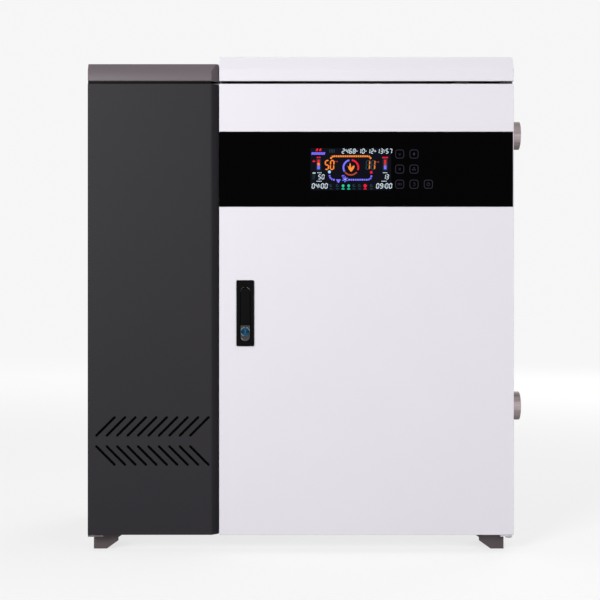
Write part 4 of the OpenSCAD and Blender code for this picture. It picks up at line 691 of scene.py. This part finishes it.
# big figures either side, the right pair over its unlit bars
bigSet = {"row": 12.4, "left": 14.9, "right": 55.9, "width": 3.3, "height": 8.8, "step": 5.2, "lean": 0.06}
for ink, text, column, bar in (("orange", "50", "left", 1.25), ("ghost", "88", "right", 1.0),
                               ("orange", "11", "right", 1.25)):
    number(ink, text, bigSet[column], bigSet["row"], bigSet["width"], bigSet["height"], bar, bigSet["step"],
           bigSet["lean"])
for c, r in ((25.4, 13.4), (66.7, 13.8)):
    draw("dull", circle(c, r, 0.5, 8))
    drawStroke("dull", c + 0.9, r, c + 1.9, r, 1.0)

# thermometers: a thin frame, and in it red over orange or dull red over blue
tubeSet = {"top": 11.0, "bottom": 21.8, "width": 4.2, "line": 0.45, "lineOut": 0.1, "bulbIn": 0.9,
           "bulbRound": 0.6, "middleWidth": 2.4, "footWidth": 2.6}
for c, middle in ((6.1, "orange"), (72.7, "dull")):
    top, bottom, right = tubeSet["top"], tubeSet["bottom"], c + tubeSet["width"]
    over, under = top - tubeSet["lineOut"], bottom + tubeSet["lineOut"]
    for ends in ((c, top, c, bottom), (right, top, right, bottom), (c, over, right, over),
                 (c, under, right, under)):
        drawStroke("ghost", *ends, tubeSet["line"])
    centre = c + tubeSet["width"] / 2
    draw("red", roundBox(c + tubeSet["bulbIn"], 11.6, right - tubeSet["bulbIn"], 14.6, tubeSet["bulbRound"]))
    drawStroke(middle, centre, 14.7, centre, 17.2, tubeSet["middleWidth"])
    drawStroke("blue", centre, 17.4, centre, 21.2, tubeSet["footWidth"])
# red bars over the thermometers: both ends, row, width
for c0, c1, r, w in ((6.4, 8.2, 9.2, 1.2), (8.6, 10.2, 9.2, 1.2), (71.9, 74.8, 9.4, 1.3),
                     (75.1, 77.6, 9.4, 1.3)):
    drawStroke("red", c0, r, c1, r, w)
draw("red", [(1.9, 13.3), (3.6, 11.6), (3.6, 12.6), (4.9, 12.6), (4.9, 13.7), (2.6, 13.9)])

# ring round a flame: ink, inner and outer radius, first and last angle
ringSet = {"column": 40.5, "row": 19.4}
for ink, inner, outer, a0, a1 in (("blue", 6.6, 8.3, -102, -212), ("red", 6.6, 8.3, -83, 20),
                                  ("dull", 6.7, 8.1, 38, 142)):
    draw(ink, arcBand(ringSet["column"], ringSet["row"], inner, outer, a0, a1))
draw("orange", [(40.2, 23.4), (38.3, 20.9), (37.3, 17.6), (39.0, 19.0), (39.0, 16.6), (39.9, 14.5),
                (40.6, 17.3), (40.4, 20.0), (41.9, 18.3), (43.6, 17.3), (44.3, 18.0), (43.4, 20.7),
                (41.8, 22.6), (40.9, 23.6)])

# row of small icons: a round lamp on a stand, the unlit ones as an open ring over a bar
lampRadius = {"green": 1.35, "red": 1.7}
for c, ink in ((20.4, "ghost"), (27.0, "ghost"), (32.7, "green"), (38.3, "green"), (43.5, "ghost"),
               (49.2, "ghost"), (54.8, "red"), (61.0, "ghost")):
    if ink in lampRadius:
        draw(ink, circle(c, 37.6, lampRadius[ink], 14))
        drawStroke(ink, c - 0.6, 39.4, c + 0.6, 39.4, 0.5)
        drawStroke(ink, c - 1.4, 40.8, c + 1.4, 40.8, 1.0)
    else:
        draw(ink, arcBand(c, 37.4, 0.7, 1.5, 0, 300, 12))
        drawStroke(ink, c - 1.3, 40.7, c + 1.3, 40.7, 0.7)

# touch keys printed on the glass in mm, each a rounded outline round a plain sign
keySet = {"left": 6.4, "columnStep": 22.95, "bottom": 14.05, "rowStep": 24.15, "half": 6.6, "corner": 3.6,
          "line": 0.95, "signLine": 0.8}
boardLow = boxMm("touch_board")[0]


def keyShape(points, x, z):
    inkShapes["key"].append([(x + u, z + v) for u, v in points])


def keyBar(x, z, u0, v0, u1, v1, w=keySet["signLine"]):
    keyShape(stroke(u0, v0, u1, v1, w), x, z)


def keyOutline(x, z):
    h, c, w = keySet["half"], keySet["corner"], keySet["line"]
    for sx, sz, a in ((1, 1, 0), (-1, 1, 90), (-1, -1, 180), (1, -1, 270)):
        keyShape(arcBand(sx * (h - c), sz * (h - c), c - w / 2, c + w / 2, a, a + 90, 6), x, z)
    for s in (-1, 1):
        keyBar(x, z, s * h, c - h, s * h, h - c, w)
        keyBar(x, z, c - h, s * h, h - c, s * h, w)


x0, x1, x2 = [boardLow.x + keySet["left"] + keySet["columnStep"] * i for i in range(3)]
z0, z1, z2 = [boardLow.z + keySet["bottom"] + keySet["rowStep"] * i for i in (2, 1, 0)]
for x, z in ((x0, z0), (x0, z1), (x0, z2), (x1, z0), (x1, z1), (x1, z2), (x2, z2)):
    keyOutline(x, z)
# the signs: a fork, a crossed pair of strokes and three bars in the left column
for s in (-1, 1):
    keyBar(x0, z0, s * 1.7, 0.6, 0, -0.9)
    keyBar(x0, z1, s * 1.5, s * 1.5, -s * 0.35, -s * 0.35)
    keyBar(x0, z1, s * 1.5, -s * 1.5, s * 0.35, -s * 0.35)
    keyBar(x0, z2, s * 2.4, -2.0, s * 2.4, 2.0)
keyBar(x0, z0, 0, -1.1, 0, -2.4)
keyBar(x0, z2, 0, -2.0, 0, 2.0)
# a drop, three dots and an open ring in the middle, and at the right a ring with a bar in its gap
keyShape([(0, 2.8), (1.6, 0.4), (1.5, -1.2), (0, -2.3), (-1.5, -1.2), (-1.6, 0.4)], x1, z0)
for u, v in circle(0, 0, 2.0, 3, 90, 450):
    keyShape(circle(u, v, 1.1, 10), x1, z1)
keyShape(arcBand(-0.6, 0, 2.0, 2.8, -110, 110, 12), x1, z2)
keyShape(arcBand(0, 0, 2.0, 2.8, -235, 55, 14), x2, z2)
keyBar(x2, z2, 0, 1.0, 0, 3.2)

# the film lies on the glass and the inks on the film, but the keys are printed on the glass itself
(filmLeft, filmTop), (filmRight, filmBottom) = cells([(0, 0), (displaySet["width"], displaySet["height"])])
flatPiece("displayFilm", [roundBox(filmLeft, filmBottom, filmRight, filmTop, displaySet["corner"])],
          frontY - displaySet["film"], frontY, door, displayFilm)
for ink, shapes in inkShapes.items():
    underY = frontY if ink == "key" else frontY - displaySet["film"]
    flatPiece("graphics" + ink.capitalize(), shapes, frontY - displaySet["ink"], underY, door,
              litInk("ink" + ink.capitalize(), inkSet[ink]))
print("display drawn,", sum(len(shapes) for shapes in inkShapes.values()), "shapes")

# front face of the left panel's lip, below the column, in a lighter metal that paints the highlight along
# the lip; from here on all is in mm, set off from the nodes
panelLow, panelHigh = boxMm("left_side_panel")
lipSet = {"left": 0.3, "right": 24.7, "bottom": 0.2, "top": 2.9, "proud": 0.1, "deep": 0.6}
flatPiece("panelEdge", [box(panelLow.x + lipSet["left"], panelLow.z + lipSet["bottom"],
                            panelLow.x + lipSet["right"], panelLow.z + lipSet["top"])],
          panelLow.y - lipSet["proud"], panelLow.y + lipSet["deep"], cabinet, lipHighlightMetal)

# black strip that fills the seam under the column's cap: a dark sheet for painted shade in the seam
coverLow, coverHigh = boxMm("column_front_cover")
seamShadeSet = {"left": 0.4, "right": 12, "lap": 0.1, "behindFront": 0.8, "deep": 0.5}
flatPiece("capSeamShade", [box(coverLow.x + seamShadeSet["left"], coverHigh.z - seamShadeSet["lap"],
                            coverHigh.x - seamShadeSet["right"], panelHigh.z + seamShadeSet["lap"])],
          frontY + seamShadeSet["behindFront"], panelLow.y + seamShadeSet["deep"], cabinet, lockBlack)

# the glass laps over the door's left edge
lapSet = {"ends": 0.2, "lap": 0.5, "proud": 0.05, "deep": 1.0}
flatPiece("glassLap", [box(boxMm("door_shell")[0].x, glassLow.z + lapSet["ends"],
                           glassLow.x + lapSet["lap"], glassHigh.z - lapSet["ends"])],
          frontY - lapSet["proud"], frontY + lapSet["deep"], door, glassBlack)

# round head of the lever's slot: two corner pieces of the lock's face, with painted highlights on the rim
leverLow, leverHigh = boxMm("lock_lever")
lockX = (leverLow.x + leverHigh.x) / 2
lockY = boxMm("lock_frame")[0].y
skin = 0.06
slotSet = {"radius": 7.65, "centreDown": 8.8, "half": 8.7, "above": 1.1, "arcEnd": 25, "arcStep": 8,
           "proud": 0.02, "deep": 0.7, "rim": 0.5}
headZ = leverHigh.z - slotSet["centreDown"]
slotTop = leverHigh.z + slotSet["above"]
corners = []
for side in (1, -1):
    arc = []
    for a in range(90, slotSet["arcEnd"], -slotSet["arcStep"]):
        arc.append((lockX + side * slotSet["radius"] * math.cos(math.radians(a)),
                    headZ + slotSet["radius"] * math.sin(math.radians(a))))
    edgeX = lockX + side * slotSet["half"]
    corners.append(arc + [(edgeX, arc[-1][1]), (edgeX, slotTop), (lockX, slotTop)])
flatPiece("slotHead", corners, lockY - slotSet["proud"], lockY + slotSet["deep"], door, lockBlack)
# painted highlights on the slot's rim: a brighter arc at the right, a dim one at the left
for side, a0, a1, shine in (("Right", 30, 74, glint), ("Left", 104, 150, dimGlint)):
    rim = arcBand(lockX, headZ, slotSet["radius"], slotSet["radius"] + slotSet["rim"], a0, a1, 8)
    flatPiece("slotGlint" + side, [rim], lockY - skin, lockY, door, shine)

# painted highlights on the key barrel's chrome rim, in three stretches
buttonLow = boxMm("lock_button")[0]
barrelLow, barrelHigh = boxMm("key_barrel")
barrelZ = (barrelLow.z + barrelHigh.z) / 2
rimHighlightSet = {"inner": 6.7, "outer": 7.3, "arcs": ((98, 160), (14, 74), (200, 250)), "deep": 0.1}
flatPiece("barrelRimHighlights", [arcBand(lockX, barrelZ, rimHighlightSet["inner"], rimHighlightSet["outer"], a0, a1, 8)
                        for a0, a1 in rimHighlightSet["arcs"]],
          buttonLow.y - skin, buttonLow.y + rimHighlightSet["deep"], button, rimHighlightMetal)

# painted highlights on the button's foot: a crescent, with a brighter painted spot at its left
footSet = {"up": 7.6, "outer": 7.2, "outerArc": (200, 340), "inner": 6.9, "innerUp": 1.6,
           "innerArc": (212, 328), "sparkInner": 6.0, "sparkOuter": 7.3, "sparkArc": (206, 238), "deep": 0.1}
footZ = buttonLow.z + footSet["up"]
crescent = circle(lockX, footZ, footSet["outer"], 18, *footSet["outerArc"])
crescent += reversed(circle(lockX, footZ + footSet["innerUp"], footSet["inner"], 18, *footSet["innerArc"]))
flatPiece("buttonGlint", [crescent], lockY - skin, lockY + footSet["deep"], button, dimGlint)
spark = arcBand(lockX, footZ, footSet["sparkInner"], footSet["sparkOuter"], *footSet["sparkArc"], 6)
flatPiece("buttonSpark", [spark], lockY - 2 * skin, lockY, button, glint)

# spring leaf in the keyway
leafSet = {"half": 2.7, "width": 0.7, "front": 0.5, "back": 1.5}
leaf = stroke(lockX, barrelZ - leafSet["half"], lockX, barrelZ + leafSet["half"], leafSet["width"])
flatPiece("keyLeaf", [leaf], barrelLow.y + leafSet["front"], barrelLow.y + leafSet["back"], barrel, glint)
print("front parts placed")

# studio: pale surroundings and floor, whose brightness is for the eye and for reflections only
studioSet = {"world": 0.30, "seen": 0.925, "floorColor": 0.3, "floorTone": 0.004, "floorRough": 0.9,
             "floorNear": 0.70, "floorFar": 0.835, "nearWithin": 1.0, "farBeyond": 5.0, "floorHalf": 30}


def seenByCamera(tree):
    rays = tree.nodes.new("ShaderNodeLightPath").outputs
    return mathNode(tree, "ADD", mathNode(tree, "ADD", rays["Is Camera Ray"], rays["Is Glossy Ray"]),
                    rays["Is Transmission Ray"], clamp=True)


world = bpy.data.worlds.new("studioWorld")
scene.world = world
world.use_nodes = True
tree = world.node_tree
background = tree.nodes["Background"].inputs
background["Color"].default_value = (1, 1, 1, 1)
extra = studioSet["seen"] - studioSet["world"]
tree.links.new(scaleAdd(tree, seenByCamera(tree), extra, studioSet["world"]), background["Strength"])

# lamps: place, target, side (m) and power (W)
lampSet = {
    "keyLamp": ((-1.5, -3.1, 1.45), (0, 0, 0.42), 1.1, 84.0),
    "topLamp": ((0.1, -0.6, 3.0), (0, 0, 0.7), 1.6, 4.5),
    "fillLamp": ((1.8, -2.9, 0.5), (0.1, 0, 0.3), 1.8, 25.0),
    "behindLamp": ((1.8, 3.2, 3.0), (0, 0, 0.4), 2.4, 60.0),
}
for name, (place, target, size, power) in lampSet.items():
    lampData = bpy.data.lights.new(name, "AREA")
    lampData.shape = "SQUARE"
    lampData.size = size
    lampData.energy = power
    lamp = bpy.data.objects.new(name, lampData)
    lamp.location = place
    lamp.rotation_euler = (Vector(target) - Vector(place)).to_track_quat("-Z", "Y").to_euler()
    scene.collection.objects.link(lamp)

# floor: takes the shadow, and glows a little more far away so that it meets the surroundings
floorBm = bmesh.new()
half = studioSet["floorHalf"]
for x, y in box(-half, -half, half, half):
    floorBm.verts.new((x, y, 0))
floorBm.faces.new(floorBm.verts)
floor = newObject("studioFloor", floorBm)
settings = {"Roughness": studioSet["floorRough"], "Specular IOR Level": 0.0, "Emission Color": (1, 1, 1, 1)}
floorPaint, tree, shader = newMaterial("floorPaint", settings)
surface = groupNode(tree, surfaceGroup, {"Color": (*[studioSet["floorColor"]] * 3, 1),
                                         "Tone": studioSet["floorTone"]})
tree.links.new(surface.outputs["Color"], shader["Base Color"])
spread = tree.nodes.new("ShaderNodeMapRange")
spread.interpolation_type = "SMOOTHSTEP"
for label, value in (("From Min", "nearWithin"), ("From Max", "farBeyond"), ("To Min", "floorNear"),
                     ("To Max", "floorFar")):
    spread.inputs[label].default_value = studioSet[value]
tree.links.new(vectorNode(tree, "LENGTH", placeOn(tree)).outputs["Value"], spread.inputs["Value"])
glow = mathNode(tree, "MULTIPLY", seenByCamera(tree), spread.outputs["Result"])
tree.links.new(glow, shader["Emission Strength"])
floor.data.materials.append(floorPaint)
print("studio ready")
